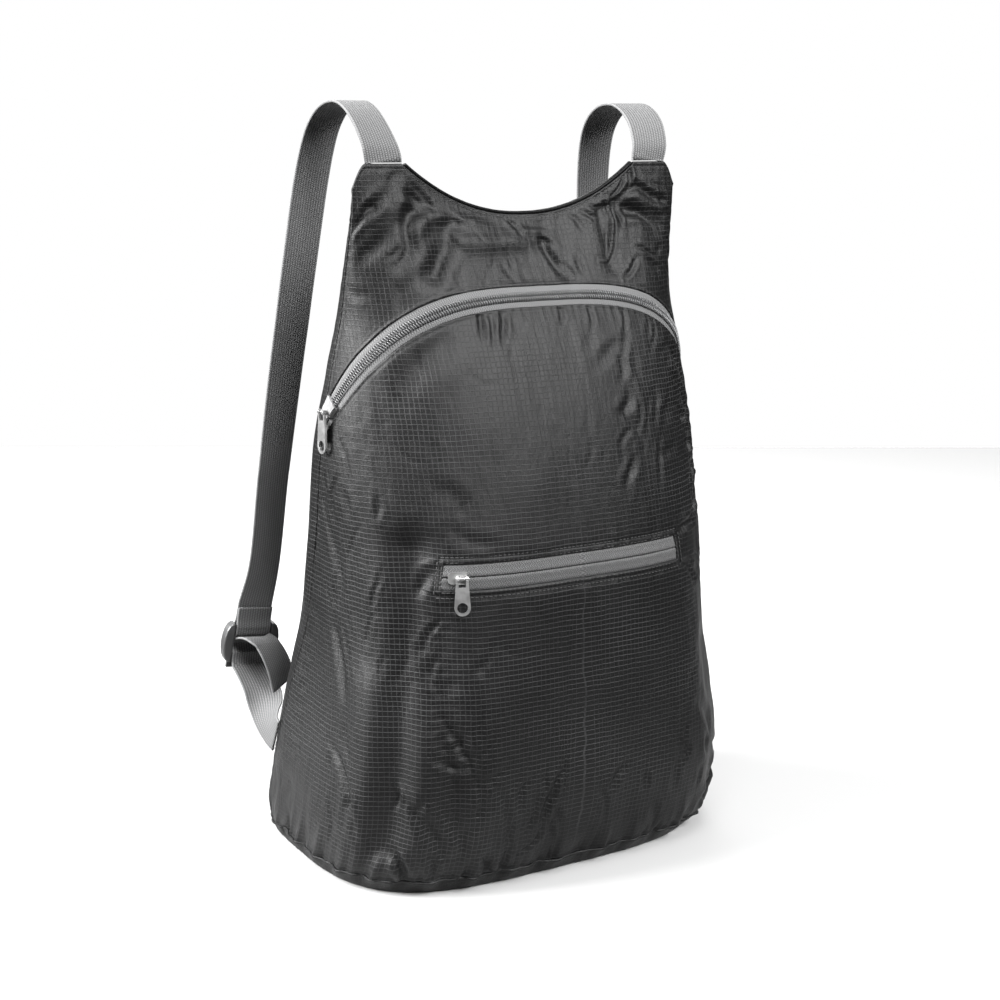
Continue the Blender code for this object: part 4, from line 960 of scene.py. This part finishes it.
def layBackPanel():
    low, top = bagForm["seamHeight"] + bagForm["seamClear"], bagForm["topHeight"]
    rows = hemmedRows(low, top, backCloth["rowPitch"])
    uGrid, height, total, along, sideAway = clothGrid(columnsOfU(backCloth["columnPitch"]), rows, True)
    seamAway, topAway = height - low, top - height
    calm = smoothStep(0, 12, sideAway) * smoothStep(0, 8, topAway)
    lift = crumpleLift(along, height, 123, 1.2) * calm * smoothStep(0, 9, seamAway)
    lift += scatterLift(along, height, backCloth["scattered"], calm)
    lift += puckerLift(along, seamAway, *backCloth["baseGather"])
    lift += puckerLift(along, seamAway, *backCloth["baseSwell"])
    lift += puckerLift(along, topAway, *backCloth["neckPucker"])
    lift += puckerLift(height, sideAway, *backCloth["sidePucker"])
    lift = hemLift(lift, np.minimum(np.minimum(topAway, seamAway), sideAway), 0.9)
    points = layCloth(uGrid, height, lift, back=True)
    return makeMesh("back_panel_cloth", points.reshape(-1, 3), gridFaces(*height.shape, flip=True), clothFinish,
                    clothUv(uGrid, height, True), stands=("back_panel",))


def ringAround(uFront, uBack, height, depth):
    # one closed ring round the bag at a height: the front from left to right, then the back again
    front = bagSkin(uFront, np.full_like(uFront, height), depth)
    back = bagSkin(uBack, np.full_like(uBack, height), depth, True)[::-1]
    return np.concatenate([front, back])


baseTray = {
    "sole": (0.0, 0.25, 0.5, 0.72, 0.88, 0.95),        # sizes of the sole's rings, as shares of its outline
    # height and depth of the wall's rings
    "wall": ((0.15, 1.0), (0.9, 0.25), (2.2, 0.0), (4.0, 0.0), (6.0, 0.05), (7.8, 0.1), (8.85, 0.15), (9.45, 0.25),
             (9.85, 0.9)),
    "swell": 0.5,
}


def layBase():
    # tray: rings that rise from the flat sole round a soft edge to the seam; the sole closes to its middle
    uFront = np.linspace(0, 1, 241)
    uBack = np.linspace(0, 1, 181)[1:-1]
    outline = ringAround(uFront, uBack, 0.0, 0.0)
    middle = outline.mean(axis=0)
    rings = [middle + (outline - middle) * max(share, 0.002) * 0.985 for share in baseTray["sole"]]
    rim = baseTray["wall"][-1][0]
    for height, depth in baseTray["wall"]:
        ring = ringAround(uFront, uBack, height, depth)
        around = lengthsAlong(ring)
        swell = baseTray["swell"] * smoothStep(0, 3, height) * smoothStep(rim, rim - 3, height)
        out = unit((ring - ring.mean(axis=0)) * (1, 1, 0))
        rings.append(ring + out * (swell * layeredNoise(around / 16, 0 * around + 0.4, 161, 2))[:, None])
    grid = np.array(rings)
    flat = len(baseTray["sole"])
    grid[:flat + 1, :, 2] = np.maximum(grid[:flat + 1, :, 2], 0.0)
    climb = np.cumsum(np.linalg.norm(np.diff(grid, axis=0, prepend=grid[:1]), axis=2), axis=0)
    uv = np.stack([np.broadcast_to(lengthsAlong(grid[flat + 2]), climb.shape), climb], axis=-1)
    uv[:flat] = grid[:flat, :, :2]
    return makeMesh("base_tray", grid.reshape(-1, 3), gridFaces(*grid.shape[:2], closed=True), baseFinish,
                    uv.reshape(-1, 2), stands=("base_panel",))


def layBasePiping():
    # thin corded ridge that runs round the base seam over the gathered cloth, thicker and thinner at random along
    # it
    sides = ((np.linspace(0.002, 0.998, 420), False), (np.linspace(0.004, 0.996, 330)[::-1], True))
    centre = np.vstack([bagSkin(u, bagForm["seamHeight"], 0.0, back) for u, back in sides])
    normal = np.vstack([skinNormal(u, bagForm["seamHeight"], back) for u, back in sides])
    around = lengthsAlong(centre)
    centre = centre + normal * (0.1 + 0.22 * layeredNoise(around / 5, 0 * around, 171, 2))[:, None]
    centre[:, 2] += 0.25 * layeredNoise(around / 9, 0 * around + 7, 175, 2)
    size = 0.62 + 0.16 * latticeNoise(around / 3.1, 0 * around, 179)
    profile = circle(8)[None] * size[:, None, None]
    again = np.arange(len(centre) + 1) % len(centre)
    grid = sweep(centre, np.broadcast_to((0.0, 0.0, 1.0), centre.shape), normal, profile)[again]
    return makeMesh("base_seam_ridge", grid.reshape(-1, 3), gridFaces(*grid.shape[:2], closed=True, flip=True),
                    clothFinish, uvOf(around[again, None], np.arange(8) * 0.5))


def layNeckBinding():
    # folded strip over the neckline's edge: a bar with rounded corners, x = a sgn(cos)|cos|^0.7 and the same
    # of the sine, carried along the neckline
    x = np.linspace(-72.4, 72.4, 190)
    centre = np.stack([x, np.full_like(x, 3.0), bagForm["topHeight"] - neckSag(x) + 0.45], axis=1)
    across, face = pathFrames(centre, np.array((0.0, 1.0, 0.0)))
    bar = np.array((1.75, 1.15)) * np.sign(circle(16)) * np.abs(circle(16)) ** 0.7
    around = lengthsAlong(centre)
    size = 1 + 0.05 * latticeNoise(around / 3.6, 0 * around, 181)
    grid = sweep(centre, across, face, bar[None] * size[:, None, None])
    return makeMesh("neckline_binding", grid.reshape(-1, 3), tubeFaces(*grid.shape[:2]), bindingFinish,
                    uvOf(around[:, None], np.arange(16) * 0.4), stands=("neck_binding",))


layFrontPanel()
layFrontYoke()
layBackPanel()
layBase()
layBasePiping()
layNeckBinding()
print("cloth laid")


mainTape = {
    "offsets": np.array((0.2, 0.7, 1.5, 2.3, 2.8, 3.4, 4.2, 5.0, 5.6, 6.1, 6.6, 7.4)),      # from the chain
    "depths": np.array((0.45, 0.45, 0.42, 0.38, 0.28, 0.26, 0.30, 0.36, 0.44, 0.62, 0.9, 1.1)),
}


def layTape(name, stands, side):
    # tape of the main zip: rows at fixed offsets from the chain, sunk under the cloth's edge
    offsets = side * mainTape["offsets"]
    u = np.linspace(0.0005, 0.9995, 520)
    height = np.array([archHeights(u, offset) for offset in offsets])
    points = bagSkin(u, height, mainTape["depths"][:, None])
    return makeMesh(name, points.reshape(-1, 3), gridFaces(*height.shape, flip=side < 0), tapeFinish,
                    uvOf(lengthsAlong(points[0]), offsets[:, None]), stands=(stands,))


def coilPath(offset, count):
    # even places along the chain's line at an offset, with their outward and sideways directions
    u = np.linspace(0.001, 0.999, 900)
    line = bagSkin(u, archHeights(u, offset))
    sums = lengthsAlong(line)
    uEven = np.interp(np.linspace(0, sums[-1], count), sums, u)
    height = archHeights(uEven, offset)
    centre = bagSkin(uEven, height)
    normal = skinNormal(uEven, height)
    tangent = unit(np.gradient(centre, axis=0))
    return centre, normal, unit(np.cross(normal, tangent)), sums[-1]


def layCoils():
    # each coil is a flattened spring: across = a sgn(cos t)|cos t|^0.8, outward = b sin t, a turn for every pitch
    steps = 9                                                  # places along each turn
    parts, faces, start = [], [], 0
    for side in (-1, 1):
        length = coilPath(side * mainZip["coilOffset"], 50)[3]
        count = round(length / mainZip["coilPitch"]) * steps + 1
        centre, normal, across, _ = coilPath(side * mainZip["coilOffset"], count)
        t = 2 * math.pi * (np.arange(count) / steps + (0.5 if side > 0 else 0.0))
        reach = mainZip["coilHalf"] * np.sign(np.cos(t)) * np.abs(np.cos(t)) ** 0.8
        spine = centre + across * reach[:, None] + normal * (0.28 + mainZip["coilRise"] * np.sin(t))[:, None]
        tangent = unit(np.gradient(spine, axis=0))
        first = unit(np.cross(tangent, unit(normal + 0.3 * across)))
        second = np.cross(tangent, first)
        grid = sweep(spine, first, second, mainZip["wire"] * circle(5)[None])
        parts.append(grid.reshape(-1, 3))
        faces.append(gridFaces(count, 5, closed=True) + start)
        start += count * 5
    return makeMesh("main_zip_coils", np.vstack(parts), np.vstack(faces), coilFinish,
                    stands=("main_zip_chain",))


pocketTape = {
    "away": np.array((0.12, 0.3, 0.7, 1.3, 2.0, 2.7, 3.4, 4.4, 5.4, 6.2, 6.7, 7.6)),        # from the slit
    "depths": np.array((1.0, 0.45, 0.18, 0.08, 0.10, 0.22, 0.36, 0.40, 0.42, 0.55, 0.85, 1.1)),
    "past": 1.2,                # millimetres that the tape runs on beyond the window
    "sunk": 1.1,                # depth of its ends
}


def layPocketTape(name, stands, side):
    # half of the pocket zip's tape: it rises in a soft roll beside the slit and dives under the cloth
    away, depth = pocketTape["away"][:, None], pocketTape["depths"][:, None]
    left, right = pocketEnds(pocketTape["past"])
    u = np.linspace(left, right, 240)
    height = pocketZip["middle"] + side * away * np.ones_like(u)
    total = ringLength(height)
    ends = np.minimum(u - left, right - u) * total
    points = bagSkin(u, height, np.maximum(depth, pocketTape["sunk"] * smoothStep(1.6, 0.2, ends)))
    return makeMesh(name, points.reshape(-1, 3), gridFaces(*height.shape, flip=side < 0), pocketTapeFinish,
                    uvOf((u - 0.5) * total, side * away), stands=(stands,))


layTape("main_tape_upper", "main_zip_tape_upper", 1)
layTape("main_tape_lower", "main_zip_tape_lower", -1)
layCoils()
layPocketTape("pocket_tape_upper", "pocket_zip_tape_upper", 1)
layPocketTape("pocket_tape_lower", "pocket_zip_tape_lower", -1)
print("zips laid")


stitch = {
    "along": np.array((-0.5, -0.36, 0.0, 0.36, 0.5)),          # in lengths
    "size": np.array((0.35, 0.85, 1.0, 0.85, 0.35)),           # in radii
    "sink": np.array((-0.7, -0.2, 0.2, -0.2, -0.7)),           # in radii
    "zipPitch": 2.6,
    "neckPitch": 2.8,
}


def sewStitches(name, rows, length, radius):
    # one short rounded thread for every place: five rings of six points, pinched at both ends
    places, directions, normals = [np.vstack(part) for part in zip(*rows)]
    along, size, sink = stitch["along"] * length, stitch["size"] * radius, stitch["sink"] * radius
    cosine, sine = circle(6).T
    side = np.cross(normals, directions)
    rings = (places[:, None, None, :] + directions[:, None, None, :] * along[None, :, None, None]
             + normals[:, None, None, :] * (sink[:, None] + size[:, None] * sine)[None, ..., None]
             + side[:, None, None, :] * (size[:, None] * cosine)[None, ..., None])
    offset = (np.arange(len(places)) * len(along) * len(sine))[:, None, None]
    faces = tubeFaces(len(along), len(sine))[None] + offset
    return makeMesh(name, rings.reshape(-1, 3), faces.reshape(-1, 4), blackThread)


def stitchLine(u, height, pitch, rise, back=False):
    # places every pitch along a line on the skin, with the line's direction and the normal
    line = bagSkin(u, height, 0.0, back)
    sums = lengthsAlong(line)
    even = np.arange(pitch, sums[-1] - pitch, pitch)
    uEven = np.interp(even, sums, u)
    heightEven = np.interp(even, sums, height)
    places = bagSkin(uEven, heightEven, 0.0, back)
    normal = skinNormal(uEven, heightEven, back)
    slopes = np.gradient(line, sums, axis=0)
    direction = unit(np.stack([np.interp(even, sums, column) for column in slopes.T], axis=1))
    return places + normal * rise, direction, normal


def stitchZips():
    u = np.linspace(0.01, 0.99, 500)
    pitch = stitch["zipPitch"]
    rows = [stitchLine(u, archHeights(u, mainZip["tapeHalf"] + 1.2), pitch, -0.1)]
    left, right = pocketEnds()
    for away in (1.2, 4.0):
        aside = away / bagForm["frontWidth"]
        across = np.linspace(left - aside, right + aside, 200)
        upright = np.linspace(pocketZip["low"] - away, pocketZip["high"] + away, 60)
        for height in upright[[0, -1]]:
            rows.append(stitchLine(across, np.full_like(across, height), pitch, 0.12))
        for column in across[[0, -1]]:
            rows.append(stitchLine(np.full_like(upright, column), upright, pitch, 0.12))
    sewStitches("zip_stitches", rows, 2.1, 0.24)


def stitchNeckline():
    u = np.linspace(0.14, 0.86, 400)
    height = np.full_like(u, bagForm["topHeight"] - hemSteps[-2])
    rows = [stitchLine(u, height, stitch["neckPitch"], -0.05, back) for back in (False, True)]
    sewStitches("neckline_stitches", rows, 2.0, 0.2)


stitchZips()
stitchNeckline()
print("stitches sewn")


webbing = {
    "width": 22.0,
    "thick": 1.25,
    "faceColumns": 25,
    "edgeColumns": 3,
    # stations: x, y, z and the direction of the width
    "strapRoute": np.array([
        (-84.3, 3, 398.4, 1, 0, 0), (-86.3, 4.2, 408, 1, 0.10, 0),
        (-88.3, 11.5, 419.3, 1, 0.18, 0), (-89.1, 22, 427, 1, 0.20, 0),
        (-89.4, 34, 430.3, 1, 0.20, 0), (-90, 48, 428.4, 1, 0.18, 0),
        (-90.7, 60, 421.5, 1, 0.14, 0), (-92, 69, 409, 1, 0.10, 0),
        (-94.5, 76, 386, 1, 0.06, 0), (-98, 81, 354, 1, 0.06, 0),
        (-103, 87, 309, 1, 0.08, 0), (-107.5, 94.5, 262, 1, 0.12, 0),
        (-112, 101, 214, 1, 0.20, 0), (-115.8, 108, 164, 1, 0.20, 0),
    ]),
    "seamRoute": np.array([
        (-124.9, 76.6, 63.6, 0.07, -0.35, 0.93), (-125.1, 83.5, 66.4, 0.20, -0.46, 0.87),
        (-124.2, 90.4, 71.2, 0.46, -0.50, 0.69), (-122.3, 97.3, 77.4, 0.80, -0.40, 0.42),
        (-121.9, 103.7, 84.4, 0.96, -0.12, 0.17), (-123.4, 110, 91.8, 0.98, 0.05, 0.10),
    ]),
    "tailRoute": np.array([
        (-122.5, 105.1, 116.4, 0.96, 0.19, -0.18), (-119.3, 101.8, 114.2, 0.89, 0.38, -0.15),
        (-117.4, 99.1, 110.4, 0.85, 0.46, -0.10), (-115.3, 97.4, 104.9, 0.84, 0.48, -0.05),
        (-112.9, 97, 97.7, 0.84, 0.49, 0), (-110.6, 97.8, 87.5, 0.83, 0.50, 0.05),
    ]),
}
# the ladder lock: its place and axes, and the webbing's ways through it as (up, out) in those axes
lock = {
    "centre": np.array((-123.8, 116.5, 112.0)),
    "across": np.array((0.99261, -0.01008, -0.12093)),
    "out": np.array((-0.03038, -0.98545, -0.16723)),
    "up": np.array((0.11748, -0.16966, 0.97847)),
    "loop": ((24, -0.78), (16, -1), (10.4, -2.2), (8.6, -2.2), (6.3, -2.2), (5.2, -1.91),
             (4.7, -1.2), (4.5, 0), (4.7, 1.2), (5.2, 1.91), (6.3, 2.2), (8.6, 2.2),
             (10.4, 2.2), (15, 1.1), (22.5, 0.78)),
    "thread": ((-13.5, 3.4), (-9.9, 2.3), (-6.9, 2.2), (-6.1, 1.9), (-3.8, -0.3),
               (-1.6, -1.6), (-0.5, -1.85), (1.7, -1.85), (2.37, -1.57), (2.65, -0.9), (2.65, 0.9),
               (2.8, 1.9), (3.2, 3.3), (4.2, 4.9), (5.3, 6.9)),
}


def lockStations(route):
    # places in the ladder lock's own axes, as stations of the webbing
    route = np.array(route)
    middle = lock["centre"] + route[:, :1] * lock["up"] + route[:, 1:] * lock["out"]
    return np.hstack([middle, np.broadcast_to(lock["across"], middle.shape)])


def bandProfile():
    # flat band with rounded edges: both faces sampled across, the edges as half circles
    half, thick = webbing["width"] / 2, webbing["thick"] / 2
    face = np.linspace(-half + thick, half - thick, webbing["faceColumns"])
    edge = np.linspace(-math.pi / 2, math.pi / 2, webbing["edgeColumns"] + 2)[1:-1]
    right = np.stack([half - thick + thick * np.cos(edge), thick * np.sin(edge)], axis=1)
    lower = np.stack([face, np.full_like(face, -thick)], axis=1)
    return np.vstack([lower, right, lower[::-1] * (1, -1), -right])


def layWebbing(name, stations, stands, mirror, levelStart=False):
    # band profile carried along the route, with a faint ripple; the width turns smoothly with the stations
    centre = stations[:, :3]
    across, face = pathFrames(centre, stations[:, 3:])
    profile = bandProfile()
    around = lengthsAlong(centre)
    ripple = 0.10 * latticeNoise(around / 14, 0 * around, 201)
    grid = sweep(centre + face * ripple[:, None], across, face, profile[None])
    if levelStart:
        grid[0, :, 2] = centre[0, 2]
    grid[..., 0] *= mirror
    half = webbing["faceColumns"]
    faces = tubeFaces(len(grid), len(profile), half, 2 * half + webbing["edgeColumns"] - 1)
    uv = uvOf(profile[:, 0] + webbing["width"] / 2, around[:, None])
    return makeMesh(name, grid.reshape(-1, 3), faces[:, ::mirror], webbingFinish, uv,
                    stands=(stands,))


def layStraps():
    loop, thread = lockStations(lock["loop"]), lockStations(lock["thread"])
    upper = curveThrough(np.vstack([webbing["strapRoute"], loop[:1]]), 300)
    fold = curveThrough(np.vstack([upper[-2:-1], loop]), None, 6)[7:]
    rise = curveThrough(np.vstack([webbing["seamRoute"], thread[:1]]), 40)
    through = curveThrough(thread, None, 5)[1:]
    tail = curveThrough(np.vstack([thread[-1:], webbing["tailRoute"]]), 44)[1:]
    for side, mirror in (("left", 1), ("right", -1)):
        name = "strap_" + side
        layWebbing(name + "_long", np.vstack([upper, fold]), name + "_upper", mirror, True)
        layWebbing(name + "_short", np.vstack([rise, through, tail]), name + "_lower", mirror)


layStraps()
print("webbing laid")


def dress(name, material):
    # gives a solid of the frame its finish
    for holder in nodes[name].material_slots:
        holder.material = material


for name in ("buckle_left", "buckle_right"):
    dress(name, buckleFinish)
for name in ("main_slider", "main_pull", "pocket_slider", "pocket_pull"):
    dress(name, metalFinish)
print("hardware dressed")


studio = {
    "floor": 0.24,
    "floorCorners": ((-0.28, -0.205), (0.28, -0.205), (0.75, 1.3), (-0.75, 1.3)),
    "floorSink": 0.0002,
    # brightness behind the bag, of the dark room round it, and overhead
    "backdrop": 1.0,
    "room": 0.03,
    "ceiling": 0.10,
    "camera": (-0.48332, -0.81064, 0.41205),
    "turn": (77.8, 0.0, -30.0),
    "lens": 60.588,
    # place, size, power, place aimed at
    "lamps": {
        "leftSoftbox": ((-1.5, 0.5, 1.05), (1.0, 1.2), 240.0, (-0.05, 0.0, 0.2)),
        "topSoftbox": ((-0.5, -0.9, 1.9), (0.9, 0.7), 36.0, (0.0, 0.02, 0.25)),
        "frontFill": ((0.1, -2.0, 1.75), (0.8, 0.8), 110.0, (0.0, 0.0, 0.2)),
        "rightFill": ((1.0, -1.7, 1.75), (0.9, 0.9), 120.0, (0.0, 0.0, 0.2)),
        "backSoftbox": ((0.7, 1.6, 1.5), (1.4, 0.8), 30.0, (0.0, 0.0, 0.2)),
    },
    "sun": 1.9,
    "sunAngle": 50.0,
}


def floorMaterial():
    sheet = ShaderSheet("floor_white")
    cloudy = sheet.noise(sheet.coordinates("Object"), 1.5, 2.0)
    return sheet.finish(sheet.mix(cloudy, grey(0.99 * studio["floor"]), grey(studio["floor"])), 0.9)


def setFloor():
    # a strip of floor that runs on behind the bag, as seen by the camera
    mesh = bpy.data.meshes.new("studio_floor")
    mesh.from_pydata([(*corner, 0.0) for corner in studio["floorCorners"]], [], [(0, 1, 2, 3)])
    mesh.materials.append(floorMaterial())
    floor = bpy.data.objects.new("studio_floor", mesh)
    floor.location.z = -studio["floorSink"]
    floor.rotation_euler.z = math.radians(studio["turn"][2])
    bpy.context.scene.collection.objects.link(floor)


def setLight():
    # the sky is white behind the bag, dark round it, and dim overhead
    world = bpy.data.worlds.new("studio_sky")
    sky = ShaderSheet("studio_sky", world)
    x, y, z = sky.parts(sky.coordinates("Generated"))
    turn = math.radians(-studio["turn"][2])
    facing = (x * math.sin(turn) + y * math.cos(turn)) / (x * x + y * y) ** 0.5
    low = 1 - z.step(0.08, 0.30)
    backdrop = facing.step(0.88, 0.94) * low
    around = studio["ceiling"] + low * (studio["room"] - studio["ceiling"])
    strength = around + backdrop * (studio["backdrop"] - studio["room"])
    sky.fill(sky.tree.nodes["Background"], {"Color": (1.0, 1.0, 1.0, 1.0), "Strength": strength})
    bpy.context.scene.world = world
    bpy.context.scene.view_settings.view_transform = "Standard"  # plain contrast, as a product photo has
    sun = bpy.data.lights.new("evenLight", "SUN")
    sun.energy, sun.angle = studio["sun"], math.radians(studio["sunAngle"])
    bpy.context.scene.collection.objects.link(bpy.data.objects.new("evenLight", sun))
    for name, (place, size, power, target) in studio["lamps"].items():
        lamp = bpy.data.lights.new(name, "AREA")
        lamp.shape = "RECTANGLE"
        lamp.size, lamp.size_y = size
        lamp.energy = power
        holder = bpy.data.objects.new(name, lamp)
        holder.location = place
        aim = np.array(target) - np.array(place)
        holder.rotation_euler = (math.acos(-aim[2] / np.linalg.norm(aim)), 0.0, math.atan2(-aim[0], aim[1]))
        bpy.context.scene.collection.objects.link(holder)


def setCamera():
    camera = bpy.data.cameras.new("photo_camera")
    camera.lens = studio["lens"]
    camera.sensor_width = 36.0
    holder = bpy.data.objects.new("photo_camera", camera)
    holder.location = studio["camera"]
    holder.rotation_euler = [math.radians(angle) for angle in studio["turn"]]
    bpy.context.scene.collection.objects.link(holder)
    bpy.context.scene.camera = holder


setFloor()
setLight()
setCamera()
print("studio set")
